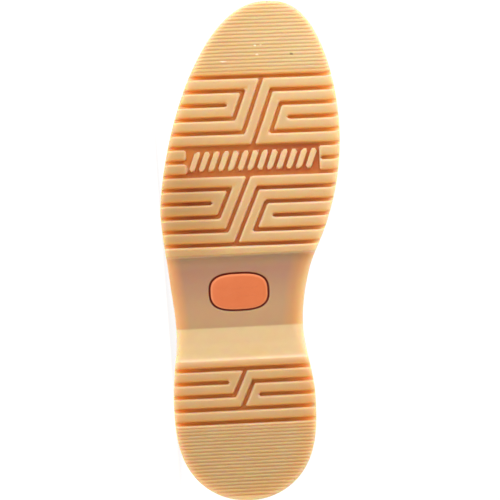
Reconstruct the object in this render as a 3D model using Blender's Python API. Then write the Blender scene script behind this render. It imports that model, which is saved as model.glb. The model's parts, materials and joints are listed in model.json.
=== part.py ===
"""Right-foot pull-on work boot that lies on its outer side, with its tread facing -Y.

The boot is worked out standing, in millimetres: x to the outer side, y from the back of the heel
to the toe, z up from the tread. One empty then lays every piece on its side on the floor, z = 0.
"""

import math
from collections import namedtuple

import bmesh
import bpy
from mathutils import Matrix, Vector

MM = 0.001
FIT_GAP = 0.3

# Plan of the sole. Heel and toe are arcs of a rounded ellipse, and the sides run between them.
SOLE_LENGTH = 308.0
TOE_SWING = 23.7
ArcShape = namedtuple("ArcShape", "reach_power root")
HEEL_ARC = ArcShape(2.9, 2.0)
TOE_ARC = {"outer": ArcShape(1.45, 2.05), "inner": ArcShape(1.85, 2.6)}
Width = namedtuple("Width", "station half_width")
SIDES = {
    "outer": [Width(62, 44.3), Width(104, 40.9), Width(140, 43.7), Width(180, 46.9)],
    "inner": [
        Width(62, 43.7),
        Width(106, 38.2),
        Width(140, 43.4),
        Width(170, 56.0),
        Width(196, 63.4),
        Width(226, 66.4),
    ],
}
TIP_STRETCH = {"heel": 62.0, "toe": 82.0}

# Side profile of the sole: its top from heel seat to toe, and the arch between heel and forefoot.
Height = namedtuple("Height", "station height")
SEAT_ROWS = [
    Height(0, 33.0),
    Height(60, 31.5),
    Height(107, 26.5),
    Height(152, 19.0),
    Height(200, 14.5),
    Height(240, 14.0),
    Height(275, 16.2),
    Height(308, 22.0),
]
HEEL_TREAD_END = 87.5
ARCH_START = 107.0
FOREFOOT_START = 152.0
ARCH_ROWS = [
    Height(HEEL_TREAD_END, 0.0),
    Height(91.0, 7.0),
    Height(97.5, 12.5),
    Height(ARCH_START, 16.5),
    Height(FOREFOOT_START - 1.0, 5.0),
    Height(FOREFOOT_START, 0.0),
]
SPRING_START = 226.0
TOE_SPRING = 8.5

# Edges of the sole: the wall leans out towards its top, and the arch has wide rounded flanks.
WALL_LEAN = 0.3
TREAD_EDGE = 1.9
TREAD_EDGE_RISE = 1.3
ARCH_EDGE = 6.5
ARCH_EDGE_RISE = 6.0
TOP_BEVEL = 0.8

# Tread: lines across the sole at one pitch, joined by slanting grooves into nested keys.
GROOVE_WIDTH = 2.8
GROOVE_FLOOR_WIDTH = 2.0
GROOVE_DEPTH = 3.5
CUT_BELOW = 2.0
CUT_PAST_EDGE = 75.0
FOREFOOT_FIRST_LINE = 261.0
FOREFOOT_PITCH = 8.585
FOREFOOT_LINES = 13
HEEL_FIRST_LINE = 81.6
HEEL_PITCH = 8.18
HEEL_LINES = 5
DEAD_END_SHARE = 0.47
# The forefoot lines lie a little askew: they run back towards the inner side.
LINE_TILT = 0.0125
TILT_PIVOT = -8.0
KeyField = namedtuple("KeyField", "first_line pitch gaps centre_x slant_deg")
KEY_FIELDS = [
    KeyField(FOREFOOT_FIRST_LINE, FOREFOOT_PITCH, 5, -16.0, 21.0),
    KeyField(FOREFOOT_FIRST_LINE - 7 * FOREFOOT_PITCH, FOREFOOT_PITCH, 5, -4.0, 24.0),
    KeyField(HEEL_FIRST_LINE, HEEL_PITCH, 3, 0.3, 25.5),
]
FULL_LINES = {"forefoot": (0, 5, 7, 12), "heel": (0, 3, 4)}

# Sunk panel between two forefoot lines, with a row of slanting bars standing in it.
PANEL_OUTER = 29.4
PANEL_INNER = 53.2
PANEL_LINES = (5, 7)
BAR_COUNT = 13
BAR_MARGIN = 2.4
BAR_WIDTH = 3.3
BAR_LENGTH = 11.6
BAR_TOP = 0.4
BAR_FOOT = 0.8

# Oval plug let into the slope of the arch.
PLUG_STATION = 128.8
PLUG_X = 0.6
PLUG_WIDTH = 36.8
PLUG_LENGTH = 24.2
PLUG_POWER = 2.9
PLUG_THICKNESS = 2.2
PLUG_PROUD = 0.5
PLUG_CROWN = 0.5
PLUG_POINTS = 40

# Upper: leather over the last, from the toe round the instep to the collar.
WALL = 2.2
LASTING_MARGIN = 11.0
COLLAR_HEIGHT = 285.0
Ledge = namedtuple("Ledge", "station width")
LEDGE_ROWS = [Ledge(0, 3.0), Ledge(60, 3.0), Ledge(110, 3.6), Ledge(200, 4.6), Ledge(308, 5.6)]
Back = namedtuple("Back", "height y")
BACK_ROWS = [
    Back(33, 3.0),
    Back(55, 1.4),
    Back(80, 2.6),
    Back(108, 7.0),
    Back(138, 10.0),
    Back(172, 10.4),
    Back(208, 8.6),
    Back(246, 6.0),
    Back(COLLAR_HEIGHT, 4.0),
]
# Level slices of heel, ankle and shaft: half-width, station of the widest place, roundness.
Slice = namedtuple("Slice", "height half widest power")
SLICES = [
    Slice(33.3, 41.0, 62.0, 2.36),
    Slice(48.0, 41.0, 61.0, 2.35),
    Slice(70.0, 39.2, 62.0, 2.40),
    Slice(95.0, 37.0, 64.0, 2.40),
    Slice(122.0, 36.3, 66.0, 2.30),
    Slice(155.0, 37.2, 68.0, 2.20),
    Slice(200.0, 40.0, 70.0, 2.20),
    Slice(245.0, 43.2, 70.5, 2.20),
    Slice(COLLAR_HEIGHT, 45.6, 71.0, 2.20),
]
FOOT_BULGE = 1.8
ANKLE_BLEND = {"height": 50.0, "start": 90.0, "end": 150.0}
# A section runs from a base, on the edge of the sole or up the back, to the ridge in front.
# A base under 0 is that far up the back. Above its level it closes to the ridge.
Section = namedtuple("Section", "base ridge_y ridge_z level power")
SECTIONS = [
    Section(307.2, 302.2, 21.4, 0.30, 2.0),
    Section(301.0, 304.0, 33.0, 0.30, 2.3),
    Section(292.0, 301.5, 47.0, 0.30, 2.4),
    Section(278.0, 291.0, 59.0, 0.32, 2.4),
    Section(258.0, 272.0, 66.5, 0.34, 2.3),
    Section(234.0, 247.0, 72.5, 0.34, 2.2),
    Section(208.0, 221.0, 81.0, 0.34, 2.1),
    Section(180.0, 197.0, 92.5, 0.34, 2.0),
    Section(148.0, 175.0, 107.5, 0.35, 2.0),
    Section(112.0, 158.0, 124.0, 0.36, 2.0),
    Section(76.0, 148.0, 139.0, 0.38, 2.0),
    Section(46.0, 142.5, 153.0, 0.40, 2.0),
    Section(22.0, 139.6, 166.0, 0.43, 2.0),
    Section(7.0, 138.2, 177.0, 0.46, 2.0),
    Section(0.0, 137.6, 186.0, 0.47, 2.1),
    Section(-22.0, 137.2, 199.0, 0.48, 2.1),
    Section(-60.0, 136.9, 218.0, 0.49, 2.1),
    Section(-105.0, 136.8, 236.0, 0.49, 2.2),
    Section(-150.0, 137.0, 252.0, 0.50, 2.2),
    Section(-200.0, 137.4, 268.0, 0.50, 2.2),
    Section(-252.0, 138.0, COLLAR_HEIGHT, 0.50, 2.2),
]
HEEL_SECTION = 14
SECTION_STEPS = 2
SIDE_POINTS = 15
SKIN_TURN = 12.0

# Insole: a board on the lasting margin.
INSOLE_INSET = 5.0
INSOLE_THICKNESS = 3.5

# Widest places of the outer side, where the boot touches the floor.
REST_STATIONS = {"ball": 178.0, "heel": 63.0}

FINISHES = {
    "gum_rubber": ((0.78, 0.50, 0.25), 0.55),
    "orange_rubber": ((0.80, 0.20, 0.06), 0.50),
    "oiled_leather": ((0.16, 0.075, 0.035), 0.60),
    "insole_leather": ((0.55, 0.37, 0.21), 0.75),
}


def along(rows, key):
    """Row of a table at a key between its rows, on a smooth curve through all of them."""
    keys = [row[0] for row in rows]
    key = min(max(key, min(keys)), max(keys))
    index = next(i for i in range(len(rows) - 1) if key <= keys[i + 1] or i == len(rows) - 2)
    low, high = rows[index], rows[index + 1]
    span = keys[index + 1] - keys[index]
    t = (key - keys[index]) / span

    def slope(at, column):
        """Slope of a column at a row: level at both ends of the table."""
        if at in (0, len(rows) - 1):
            return 0.0
        before, after = rows[at - 1], rows[at + 1]
        return (after[column] - before[column]) / (after[0] - before[0])

    values = [key]
    for column in range(1, len(low)):
        rise = high[column] - low[column]
        start, end = slope(index, column) * span, slope(index + 1, column) * span
        curve = start * t + (3 * rise - 2 * start - end) * t**2 + (start + end - 2 * rise) * t**3
        values.append(low[column] + curve)
    return type(low)(*values)


def section_at(place):
    """Section of the upper at a place counted in rows of SECTIONS, with parts of a row between."""
    low = min(int(place), len(SECTIONS) - 2)
    t = place - low
    near = [SECTIONS[min(max(low + k, 0), len(SECTIONS) - 1)] for k in (-1, 0, 1, 2)]
    values = []
    for a, b, c, d in zip(*near):
        bend = (2 * a - 5 * b + 4 * c - d) * t**2 + (3 * b - a - 3 * c + d) * t**3
        values.append(b + 0.5 * ((c - a) * t + bend))
    return Section(*values)


def arc(reach, power, root=None):
    """Share of the width left at a share of the way to the tip of a rounded ellipse."""
    return max(0.0, 1.0 - min(1.0, max(0.0, reach)) ** power) ** (1.0 / (root or power))


def drawn_in(station, inset):
    """Station of the whole sole, moved to where it lies on an outline drawn in by inset."""
    heel, toe = TIP_STRETCH["heel"], TIP_STRETCH["toe"]
    if station < heel:
        return inset + station * (1 - inset / heel)
    if station > SOLE_LENGTH - toe:
        return SOLE_LENGTH - inset - (SOLE_LENGTH - station) * (1 - inset / toe)
    return station


def half_width(side, y, inset):
    """Distance from the heel's centre line to one side of the outline drawn in by inset."""
    rows = SIDES[side]
    first, last = rows[0], rows[-1]
    tip = TOE_SWING if side == "inner" else -TOE_SWING
    if y < first.station:
        reach = (first.station - y) / (first.station - inset)
        return (first.half_width - inset) * arc(reach, *HEEL_ARC)
    if y > last.station:
        reach = (y - last.station) / (SOLE_LENGTH - inset - last.station)
        return tip + (last.half_width - inset - tip) * arc(reach, *TOE_ARC[side])
    return along(rows, y).half_width - inset


def edge(side, station, inset, z):
    """Point on one side of the outline drawn in by inset."""
    y = drawn_in(station, inset)
    x = half_width(side, y, inset)
    return Vector((x if side == "outer" else -x, y, z))


def spring(y):
    """Rise of the tread towards the toe."""
    return TOE_SPRING * max(0.0, (y - SPRING_START) / (SOLE_LENGTH - SPRING_START)) ** 2


def seat(y):
    """Height of the top of the sole."""
    return along(SEAT_ROWS, y).height


def tread(y):
    """Height of the underside of the sole, without its grooves."""
    if HEEL_TREAD_END < y < FOREFOOT_START:
        after = next(i for i, row in enumerate(ARCH_ROWS) if row.station >= y)
        low, high = ARCH_ROWS[after - 1], ARCH_ROWS[after]
        share = (y - low.station) / (high.station - low.station)
        return low.height + share * (high.height - low.height)
    return spring(y)


def arch_share(y):
    """1 under the arch and 0 under heel and forefoot, where the flanks are square."""
    if y <= HEEL_TREAD_END or y >= FOREFOOT_START:
        return 0.0
    return min(1.0, (y - HEEL_TREAD_END) / (ARCH_START - HEEL_TREAD_END))


def stations():
    """Stations of the sole's sections: close at the round ends and at each break of the arch."""
    heel, toe = TIP_STRETCH["heel"], TIP_STRETCH["toe"]
    found = [heel * (1 - math.cos(math.radians(a))) for a in range(0, 90, 12)]
    found += [SOLE_LENGTH - toe * (1 - math.cos(math.radians(a))) for a in range(0, 90, 9)]
    found += [heel, 75, 116, 128, 140, 164, 176, 188, 200, 213, SOLE_LENGTH - toe]
    found += [row.station for row in ARCH_ROWS]
    return sorted(found)


def loft(sections, closed=True, capped=False):
    """Mesh through sections of as many points each, in metres, with coinciding points merged."""
    mesh = bmesh.new()
    rings = [[mesh.verts.new(point * MM) for point in section] for section in sections]
    count = len(rings[0])
    for ring, following in zip(rings, rings[1:]):
        for i in range(count if closed else count - 1):
            j = (i + 1) % count
            mesh.faces.new((ring[i], ring[j], following[j], following[i]))
    if capped:
        mesh.faces.new(rings[0])
        mesh.faces.new(rings[-1])
    bmesh.ops.remove_doubles(mesh, verts=mesh.verts, dist=0.02 * MM)
    bmesh.ops.recalc_face_normals(mesh, faces=mesh.faces)
    return mesh


def add_object(name, mesh, collection, finish=None):
    """Object from a finished bmesh, in its collection and with its material."""
    data = bpy.data.meshes.new(name)
    mesh.to_mesh(data)
    mesh.free()
    found = bpy.data.objects.new(name, data)
    collection.objects.link(found)
    if finish:
        data.materials.append(finish)
        data.shade_smooth()
        data.set_sharp_from_angle(angle=math.radians(35))
    return found


def add_helper(name, mesh, collection):
    """Cutter or other helper that is no piece of the boot."""
    found = add_object(name, mesh, collection)
    found.hide_render = True
    found.display_type = "WIRE"
    return found


def add_boolean(target, operation, helper):
    """Cut by, or join, one helper or all the helpers of a collection."""
    modifier = target.modifiers.new(f"{operation.lower()}_{helper.name}", "BOOLEAN")
    modifier.operation = operation
    modifier.solver = "EXACT"
    if isinstance(helper, bpy.types.Collection):
        modifier.operand_type = "COLLECTION"
        modifier.collection = helper
    else:
        modifier.object = helper


def sole_section(station):
    """Ring of the sole at a station: up the outer side, over the top and down the inner side."""
    share = arch_share(station)
    foot = TREAD_EDGE + share * (ARCH_EDGE - TREAD_EDGE)
    rise = TREAD_EDGE_RISE + share * (ARCH_EDGE_RISE - TREAD_EDGE_RISE)
    low, top = tread, seat
    ring = {"outer": [], "inner": []}
    for side, points in ring.items():
        for angle in (0.0, math.radians(45), math.radians(90)):
            inset = WALL_LEAN + (foot - WALL_LEAN) * (1 - math.sin(angle))
            y = drawn_in(station, inset)
            points.append(edge(side, station, inset, low(y) + rise * (1 - math.cos(angle))))
        y = drawn_in(station, 0)
        points.append(edge(side, station, 0, top(y) - TOP_BEVEL))
        y = drawn_in(station, TOP_BEVEL)
        points.append(edge(side, station, TOP_BEVEL, top(y)))
    return ring["outer"] + ring["inner"][::-1]


def groove(path, round_end=False):
    """Cutter along a path in plan, narrower at its floor, with its last end round if asked."""
    steps = [(point, 1.0) for point in path]
    if round_end:
        way = (path[-1] - path[-2]).normalized()
        for angle in (30, 60, 85):
            turn = math.radians(angle)
            past = path[-1] + way * GROOVE_FLOOR_WIDTH / 2 * math.sin(turn)
            steps.append((past, math.cos(turn)))
    slope = (GROOVE_WIDTH - GROOVE_FLOOR_WIDTH) / GROOVE_DEPTH
    mouth_width = GROOVE_WIDTH + slope * CUT_BELOW
    sections = []
    for i, (point, share) in enumerate(steps):
        ways = [
            (steps[k + 1][0] - steps[k][0]).normalized()
            for k in (i - 1, i)
            if 0 <= k < len(steps) - 1
        ]
        way = sum(ways, Vector((0, 0))).normalized()
        across = Vector((-way.y, way.x)) / max(0.3, way.dot(ways[0]))
        section = []
        for side, width, z in (
            (1, GROOVE_FLOOR_WIDTH, GROOVE_DEPTH),
            (-1, GROOVE_FLOOR_WIDTH, GROOVE_DEPTH),
            (-1, mouth_width, -CUT_BELOW),
            (1, mouth_width, -CUT_BELOW),
        ):
            plan = point + across * side * width / 2 * share
            section.append(Vector((plan.x, plan.y, z + spring(plan.y))))
        sections.append(section)
    return loft(sections, capped=True)


def tilt(cutter):
    """Cutter with its part under the forefoot turned as the lines there are."""
    for vert in cutter.verts:
        if vert.co.y > FOREFOOT_START * MM:
            vert.co.y += LINE_TILT * (vert.co.x - TILT_PIVOT * MM)
    return cutter


def line_y(place, index):
    """Station of a tread line of the forefoot or the heel."""
    if place == "forefoot":
        return FOREFOOT_FIRST_LINE - index * FOREFOOT_PITCH
    return HEEL_FIRST_LINE - index * HEEL_PITCH


def key_paths(field):
    """Grooves of one field of nested keys: each outer one and its half turn about the centre."""
    nests = (field.gaps - 1) // 2
    middle = field.first_line - field.pitch * field.gaps / 2
    lean = math.tan(math.radians(field.slant_deg))

    def on_slant(order, line):
        """Point where a slanting groove, counted out from the centre, crosses a tread line."""
        y = field.first_line - field.pitch * line
        return Vector((field.centre_x + order * field.pitch + (middle - y) * lean, y))

    def at_edge(line):
        """Point on a tread line, past the outer edge."""
        return Vector((CUT_PAST_EDGE, field.first_line - field.pitch * line))

    paths = []
    for nest in range(nests):
        top, low = nest, field.gaps - 1 - nest
        start = [at_edge(top)] if nest else []
        ends = [on_slant(nest + 0.5, top), on_slant(nest + 0.5, low), at_edge(low)]
        paths.append((start + ends, False))
    paths.append(([at_edge(nests), on_slant(nests + DEAD_END_SHARE, nests)], True))
    centre = Vector((field.centre_x, middle))
    turned = [([2 * centre - point for point in path], end) for path, end in paths]
    return paths + turned


def cut_tread(outsole, helpers):
    """Main grooves and the sunk panel with its bars."""
    cutters = bpy.data.collections.new("tread_cutters")
    helpers.children.link(cutters)
    paths = [item for field in KEY_FIELDS for item in key_paths(field)]
    for place, lines in FULL_LINES.items():
        for line in lines:
            y = line_y(place, line)
            ends = [Vector((CUT_PAST_EDGE, y)), Vector((-CUT_PAST_EDGE, y))]
            paths.append((ends, False))
    middle = line_y("forefoot", (PANEL_LINES[0] + PANEL_LINES[1]) / 2)
    for reach, stop in ((CUT_PAST_EDGE, PANEL_OUTER), (-CUT_PAST_EDGE, -PANEL_INNER)):
        inside = stop - math.copysign(GROOVE_WIDTH, reach)
        paths.append(([Vector((reach, middle)), Vector((inside, middle))], False))
    for i, (path, round_end) in enumerate(paths):
        add_helper(f"groove_{i:02d}", tilt(groove(path, round_end)), cutters)
    front, rear = (line_y("forefoot", line) for line in PANEL_LINES)
    panel = bmesh.new()
    bmesh.ops.create_cube(panel, size=1.0)
    size = Vector((PANEL_OUTER + PANEL_INNER, front - rear, GROOVE_DEPTH + CUT_BELOW)) * MM
    bmesh.ops.scale(panel, vec=size, verts=panel.verts)
    centre = Vector(((PANEL_OUTER - PANEL_INNER) / 2, middle, (GROOVE_DEPTH - CUT_BELOW) / 2)) * MM
    bmesh.ops.translate(panel, vec=centre, verts=panel.verts)
    add_helper("panel_cutter", tilt(panel), cutters)
    add_boolean(outsole, "DIFFERENCE", cutters)
    add_boolean(outsole, "UNION", add_helper("panel_bars", tilt(panel_bars(middle)), helpers))


def panel_bars(middle):
    """Row of slanting bars that stand on the floor of the sunk panel."""
    lean = math.tan(math.radians(KEY_FIELDS[0].slant_deg))
    pitch = (PANEL_OUTER + PANEL_INNER - 2 * BAR_MARGIN) / BAR_COUNT
    bars = bmesh.new()
    for i in range(BAR_COUNT):
        made = bmesh.ops.create_cube(bars, size=1.0)["verts"]
        size = Vector((BAR_WIDTH, BAR_LENGTH, GROOVE_DEPTH + BAR_FOOT - BAR_TOP)) * MM
        bmesh.ops.scale(bars, vec=size, verts=made)
        x = -PANEL_INNER + BAR_MARGIN + (i + 0.5) * pitch
        place = Vector((x, middle, (GROOVE_DEPTH + BAR_FOOT + BAR_TOP) / 2)) * MM
        for corner in made:
            corner.co.x -= corner.co.y * lean
        bmesh.ops.translate(bars, vec=place, verts=made)
    return bars


def plug_matrix():
    """Frame of the oval plug: its z points out of the arch, along the slope's own normal."""
    low, high = ARCH_ROWS[3], ARCH_ROWS[4]
    along_slope = Vector((0, high.station - low.station, high.height - low.height)).normalized()
    across = Vector((-1, 0, 0))
    out = across.cross(along_slope)
    turn = Matrix((across, along_slope, out)).transposed().to_4x4()
    place = Vector((PLUG_X, PLUG_STATION, tread(PLUG_STATION)))
    return Matrix.Translation(place) @ turn


def oval(grow, z):
    """Ring of the plug's rounded outline, larger all round by grow."""
    ring = []
    for i in range(PLUG_POINTS):
        angle = 2 * math.pi * i / PLUG_POINTS
        c, s = math.cos(angle), math.sin(angle)
        x = math.copysign(abs(c) ** (2 / PLUG_POWER), c) * (PLUG_WIDTH / 2 + grow)
        y = math.copysign(abs(s) ** (2 / PLUG_POWER), s) * (PLUG_LENGTH / 2 + grow)
        ring.append(plug_matrix() @ Vector((x, y, z)))
    return ring


def plug_solid():
    """Oval plug with a softly crowned face."""
    floor = PLUG_PROUD - PLUG_THICKNESS
    rings = [oval(0, floor), oval(0, PLUG_PROUD - PLUG_CROWN)]
    rings += [oval(-0.4, PLUG_PROUD - 0.2), oval(-1.6, PLUG_PROUD)]
    return loft(rings, capped=True)


def pocket_cutter():
    """Pocket for the plug, wider and deeper by the fit gap."""
    floor = PLUG_PROUD - PLUG_THICKNESS - FIT_GAP
    return loft([oval(FIT_GAP, floor), oval(FIT_GAP, PLUG_THICKNESS)], capped=True)


def base_point(base, skin):
    """Middle of a section's lower end: over the sole's edge, or up the back below 0."""
    heel_height = seat(0) + FIT_GAP
    if base >= 0:
        inset = along(LEDGE_ROWS, base).width + skin
        y = drawn_in(base, inset)
        outer, inner = (half_width(side, y, inset) for side in ("outer", "inner"))
        return Vector(((outer - inner) / 2, y, seat(y) + FIT_GAP + skin))
    height = heel_height - base * (COLLAR_HEIGHT - heel_height) / -SECTIONS[-1].base
    rise = skin * max(0.0, 1 + base / SKIN_TURN)
    return Vector((0.0, along(BACK_ROWS, height).y + skin, height + rise))


def ease(value):
    """0 to 1 with level ends."""
    value = min(1.0, max(0.0, value))
    return value * value * (3 - 2 * value)


def foot_share(y):
    """0 at heel and ankle, 1 from the instep to the toe."""
    return ease((y - ANKLE_BLEND["start"]) / (ANKLE_BLEND["end"] - ANKLE_BLEND["start"]))


def body_half(y, z, skin):
    """Half-width of the boot's sides at a place, before they close over the ridge."""
    slice_row = along(SLICES, z)
    seat_row = SLICES[0]
    share = foot_share(y)
    half = slice_row.half + share * (seat_row.half - slice_row.half)
    if y < slice_row.widest:
        reach = (slice_row.widest - y) / (slice_row.widest - along(BACK_ROWS, z).y - skin)
        return (half - skin) * arc(reach, slice_row.power)
    y = max(y, seat_row.widest)
    inset = along(LEDGE_ROWS, y).width
    outline = (half_width("outer", y, inset) + half_width("inner", y, inset)) / 2
    fade = ease((z - seat(y)) / ANKLE_BLEND["height"]) * (1 - share)
    return half * (1 + (outline / seat_row.half - 1) * (1 - fade)) - skin


def ridge_point(place, skin):
    """Point of the ridge, drawn in by the skin square to the ridge's own line."""
    last = len(SECTIONS) - 1
    row = section_at(place)
    before, after = section_at(max(0.0, place - 0.3)), section_at(min(last, place + 0.3))
    way = Vector((after.ridge_y - before.ridge_y, after.ridge_z - before.ridge_z)).normalized()
    y, z = row.ridge_y - skin * way.y, row.ridge_z + skin * way.x
    under = min(y, SOLE_LENGTH - 8.0)
    x = (half_width("outer", under, 0) - half_width("inner", under, 0)) / 2
    return Vector((x, y, COLLAR_HEIGHT if place == last else z))


def upper_row(place, skin):
    """Points of one section of the upper, from its outer base over the ridge to its inner base."""
    row = section_at(place)
    base, ridge = base_point(row.base, skin), ridge_point(place, skin)
    share = foot_share(row.base)
    points = []
    for k in range(SIDE_POINTS + 1):
        q = 0.5 * (1 - math.cos(math.pi * k / SIDE_POINTS))
        middle = base.lerp(ridge, q)
        out = body_half(middle.y + share * (base.y - middle.y), middle.z, skin)
        out += share * FOOT_BULGE * math.sin(math.pi * min(1.0, q / 0.7))
        if k == 0 and row.base <= 0:
            out = 0.0
        if q > row.level:
            out *= arc((q - row.level) / (1 - row.level), row.power)
        points.append((middle, out))
    outer = [middle + Vector((out, 0, 0)) for middle, out in points]
    inner = [middle - Vector((out, 0, 0)) for middle, out in points]
    if place == 0:
        across = 2 * SIDE_POINTS
        return [outer[0].lerp(inner[0], k / across) for k in range(across + 1)]
    return outer + inner[-2::-1]


def margin_row(place, skin):
    """Two points of the lasting margin, turned in under the foot from a section's two ends."""
    base = max(0.0, section_at(place).base)
    inset = along(LEDGE_ROWS, base).width + LASTING_MARGIN
    ends = []
    for side in ("outer", "inner"):
        point = edge(side, base, inset, 0)
        point.z = seat(point.y) + FIT_GAP + skin
        ends.append(point)
    return ends


def upper_sheet(skin):
    """Named points and faces of one skin of the upper, open at the collar and under the foot."""
    places = [i / SECTION_STEPS for i in range((len(SECTIONS) - 1) * SECTION_STEPS + 1)]
    heel = HEEL_SECTION * SECTION_STEPS
    last = 2 * SIDE_POINTS

    def wall(i, j):
        """Name of a point of the wall: behind the heel both ends of a section are one point."""
        return ("wall", i, 0 if i >= heel and j == last else j)

    def margin(i, j):
        """Name of a point of the margin: both of its ends meet behind the heel."""
        return ("margin", i, 0 if i == heel else j)

    points = {}
    for i, place in enumerate(places):
        for j, point in enumerate(upper_row(place, skin)):
            points.setdefault(wall(i, j), point)
        if i <= heel:
            for j, point in zip((0, last), margin_row(place, skin)):
                points.setdefault(margin(i, j), point)
    faces = []
    for i in range(len(places) - 1):
        for j in range(last):
            faces.append((wall(i, j), wall(i, j + 1), wall(i + 1, j + 1), wall(i + 1, j)))
        if i < heel:
            for j in (0, last):
                faces.append((wall(i, j), wall(i + 1, j), margin(i + 1, j), margin(i, j)))
    for j in range(1, last):
        start, end = points[margin(0, 0)], points[margin(0, last)]
        points[margin(0, j)] = start.lerp(end, j / last)
    for j in range(last):
        faces.append((wall(0, j), wall(0, j + 1), margin(0, j + 1), margin(0, j)))
    return points, faces


def upper_shell():
    """Leather shell: its outside and inside skins, joined round the collar and the margin."""
    mesh = bmesh.new()
    layers = []
    for skin in (0.0, WALL):
        points, faces = upper_sheet(skin)
        layers.append({name: mesh.verts.new(point * MM) for name, point in points.items()})
        for face in faces:
            mesh.faces.new([layers[-1][name] for name in face])
    counts = {}
    for face in faces:
        for a, b in zip(face, face[1:] + face[:1]):
            counts.setdefault(frozenset((a, b)), []).append((a, b))
    outside, inside = layers
    for sides in counts.values():
        if len(sides) == 1:
            a, b = sides[0]
            mesh.faces.new((outside[a], outside[b], inside[b], inside[a]))
    bmesh.ops.recalc_face_normals(mesh, faces=mesh.faces)
    return mesh


def insole_section(station):
    """Ring of the insole board at a station."""
    inset = along(LEDGE_ROWS, station).width + INSOLE_INSET
    y = drawn_in(station, inset)
    low = seat(y) + 2 * FIT_GAP + WALL
    top = low + INSOLE_THICKNESS
    ring = [edge("outer", station, inset, low), edge("outer", station, inset, top)]
    return ring + [edge("inner", station, inset, top), edge("inner", station, inset, low)]


def lay_on_side(carrier, pieces):
    """Turn the carrier so that ball edge, heel edge and collar lie on the floor, and centre it."""
    touch = [edge("outer", y, 0, seat(y) - TOP_BEVEL) for y in REST_STATIONS.values()]
    touch.append(max(upper_row(len(SECTIONS) - 1, 0.0), key=lambda point: point.x))
    ball, heel, collar = touch
    down = (heel - ball).cross(collar - ball).normalized()
    if down.x < 0:
        down = -down
    away = (Vector((0, 0, 1)) - down * down.z).normalized()
    right = away.cross(-down)
    carrier.matrix_world = Matrix((right, away, -down)).to_4x4()
    bpy.context.view_layer.update()
    graph = bpy.context.evaluated_depsgraph_get()
    corners = []
    for piece in pieces:
        shown = piece.evaluated_get(graph)
        corners += [shown.matrix_world @ vertex.co for vertex in shown.data.vertices]
    low = Vector([min(corner[axis] for corner in corners) for axis in range(3)])
    high = Vector([max(corner[axis] for corner in corners) for axis in range(3)])
    middle = (low + high) / 2
    carrier.location = (-middle.x, -middle.y, -low.z)


def make_finishes():
    """Principled material of each finish."""
    made = {}
    for name, (colour, roughness) in FINISHES.items():
        material = bpy.data.materials.new(name)
        material.use_nodes = True
        shader = material.node_tree.nodes["Principled BSDF"]
        shader.inputs["Base Color"].default_value = (*colour, 1.0)
        shader.inputs["Roughness"].default_value = roughness
        shader.inputs["Metallic"].default_value = 0.0
        made[name] = material
    return made


def main():
    for old in list(bpy.data.objects):
        bpy.data.objects.remove(old)
    boot = bpy.data.collections.new("work_boot")
    helpers = bpy.data.collections.new("work_boot_helpers")
    bpy.context.scene.collection.children.link(boot)
    bpy.context.scene.collection.children.link(helpers)
    finishes = make_finishes()

    sole = loft([sole_section(station) for station in stations()])
    outsole = add_object("outsole", sole, boot, finishes["gum_rubber"])
    cut_tread(outsole, helpers)
    add_boolean(outsole, "DIFFERENCE", add_helper("plug_pocket", pocket_cutter(), helpers))
    plug = add_object("arch_plug", plug_solid(), boot, finishes["orange_rubber"])

    upper = add_object("upper", upper_shell(), boot, finishes["oiled_leather"])
    board = loft([insole_section(station) for station in stations()])
    insole = add_object("insole", board, boot, finishes["insole_leather"])

    carrier = bpy.data.objects.new("boot_carrier", None)
    boot.objects.link(carrier)
    pieces = [outsole, plug, upper, insole]
    for piece in pieces + [helper for helper in helpers.all_objects]:
        piece.parent = carrier
    lay_on_side(carrier, pieces)


main()
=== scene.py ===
"""Looks of a right-foot work boot that lies on its outer side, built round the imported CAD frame.

Pieces are worked out standing, in millimetres: x to the outer side, y from the back of the heel to
the toe, z up from the tread. BootFrame then lays them where the CAD has the boot.
"""

import json
import logging
import math
from dataclasses import dataclass, field
from enum import Enum
from typing import Callable, Sequence

import bmesh
import bpy
import numpy as np
from bmesh.types import BMesh, BMFace, BMVert
from bpy.types import Material, Node, NodeSocket, NodeTree, Object
from mathutils import Matrix, Vector


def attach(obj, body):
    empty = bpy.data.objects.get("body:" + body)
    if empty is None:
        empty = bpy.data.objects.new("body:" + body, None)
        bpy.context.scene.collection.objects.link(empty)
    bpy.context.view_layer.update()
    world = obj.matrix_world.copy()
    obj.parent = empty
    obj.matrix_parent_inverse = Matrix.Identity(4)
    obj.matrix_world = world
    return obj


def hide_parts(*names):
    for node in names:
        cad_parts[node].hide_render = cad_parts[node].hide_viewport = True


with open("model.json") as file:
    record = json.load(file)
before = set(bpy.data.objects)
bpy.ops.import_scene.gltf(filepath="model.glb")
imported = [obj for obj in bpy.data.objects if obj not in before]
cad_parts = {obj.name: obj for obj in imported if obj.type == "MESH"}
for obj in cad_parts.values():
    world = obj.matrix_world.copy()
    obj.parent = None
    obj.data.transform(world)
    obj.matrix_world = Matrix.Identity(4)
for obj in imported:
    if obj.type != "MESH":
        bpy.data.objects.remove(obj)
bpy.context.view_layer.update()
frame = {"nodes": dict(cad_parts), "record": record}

MM = 0.001
FAR = 1e3
# No edge turns by more than this, so it divides nothing.
WHOLE_DEG = 181.0
LOG = logging.getLogger("work_boot")
Row = tuple[float, float]
Colour = tuple[float, float, float, float] | NodeSocket
Layer = tuple[str, str | NodeSocket, float]
Array = np.ndarray
Field = Callable[[Array], Array]


class Side(Enum):
    """Side of the foot, with the sign that its x has."""

    OUTER = 1
    INNER = -1


class Zone(Enum):
    """Stretch of a section round the sole."""

    BOTTOM = "bottom"
    EDGE = "edge"
    WALL = "wall"
    RIM = "rim"
    TOP = "top"


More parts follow.
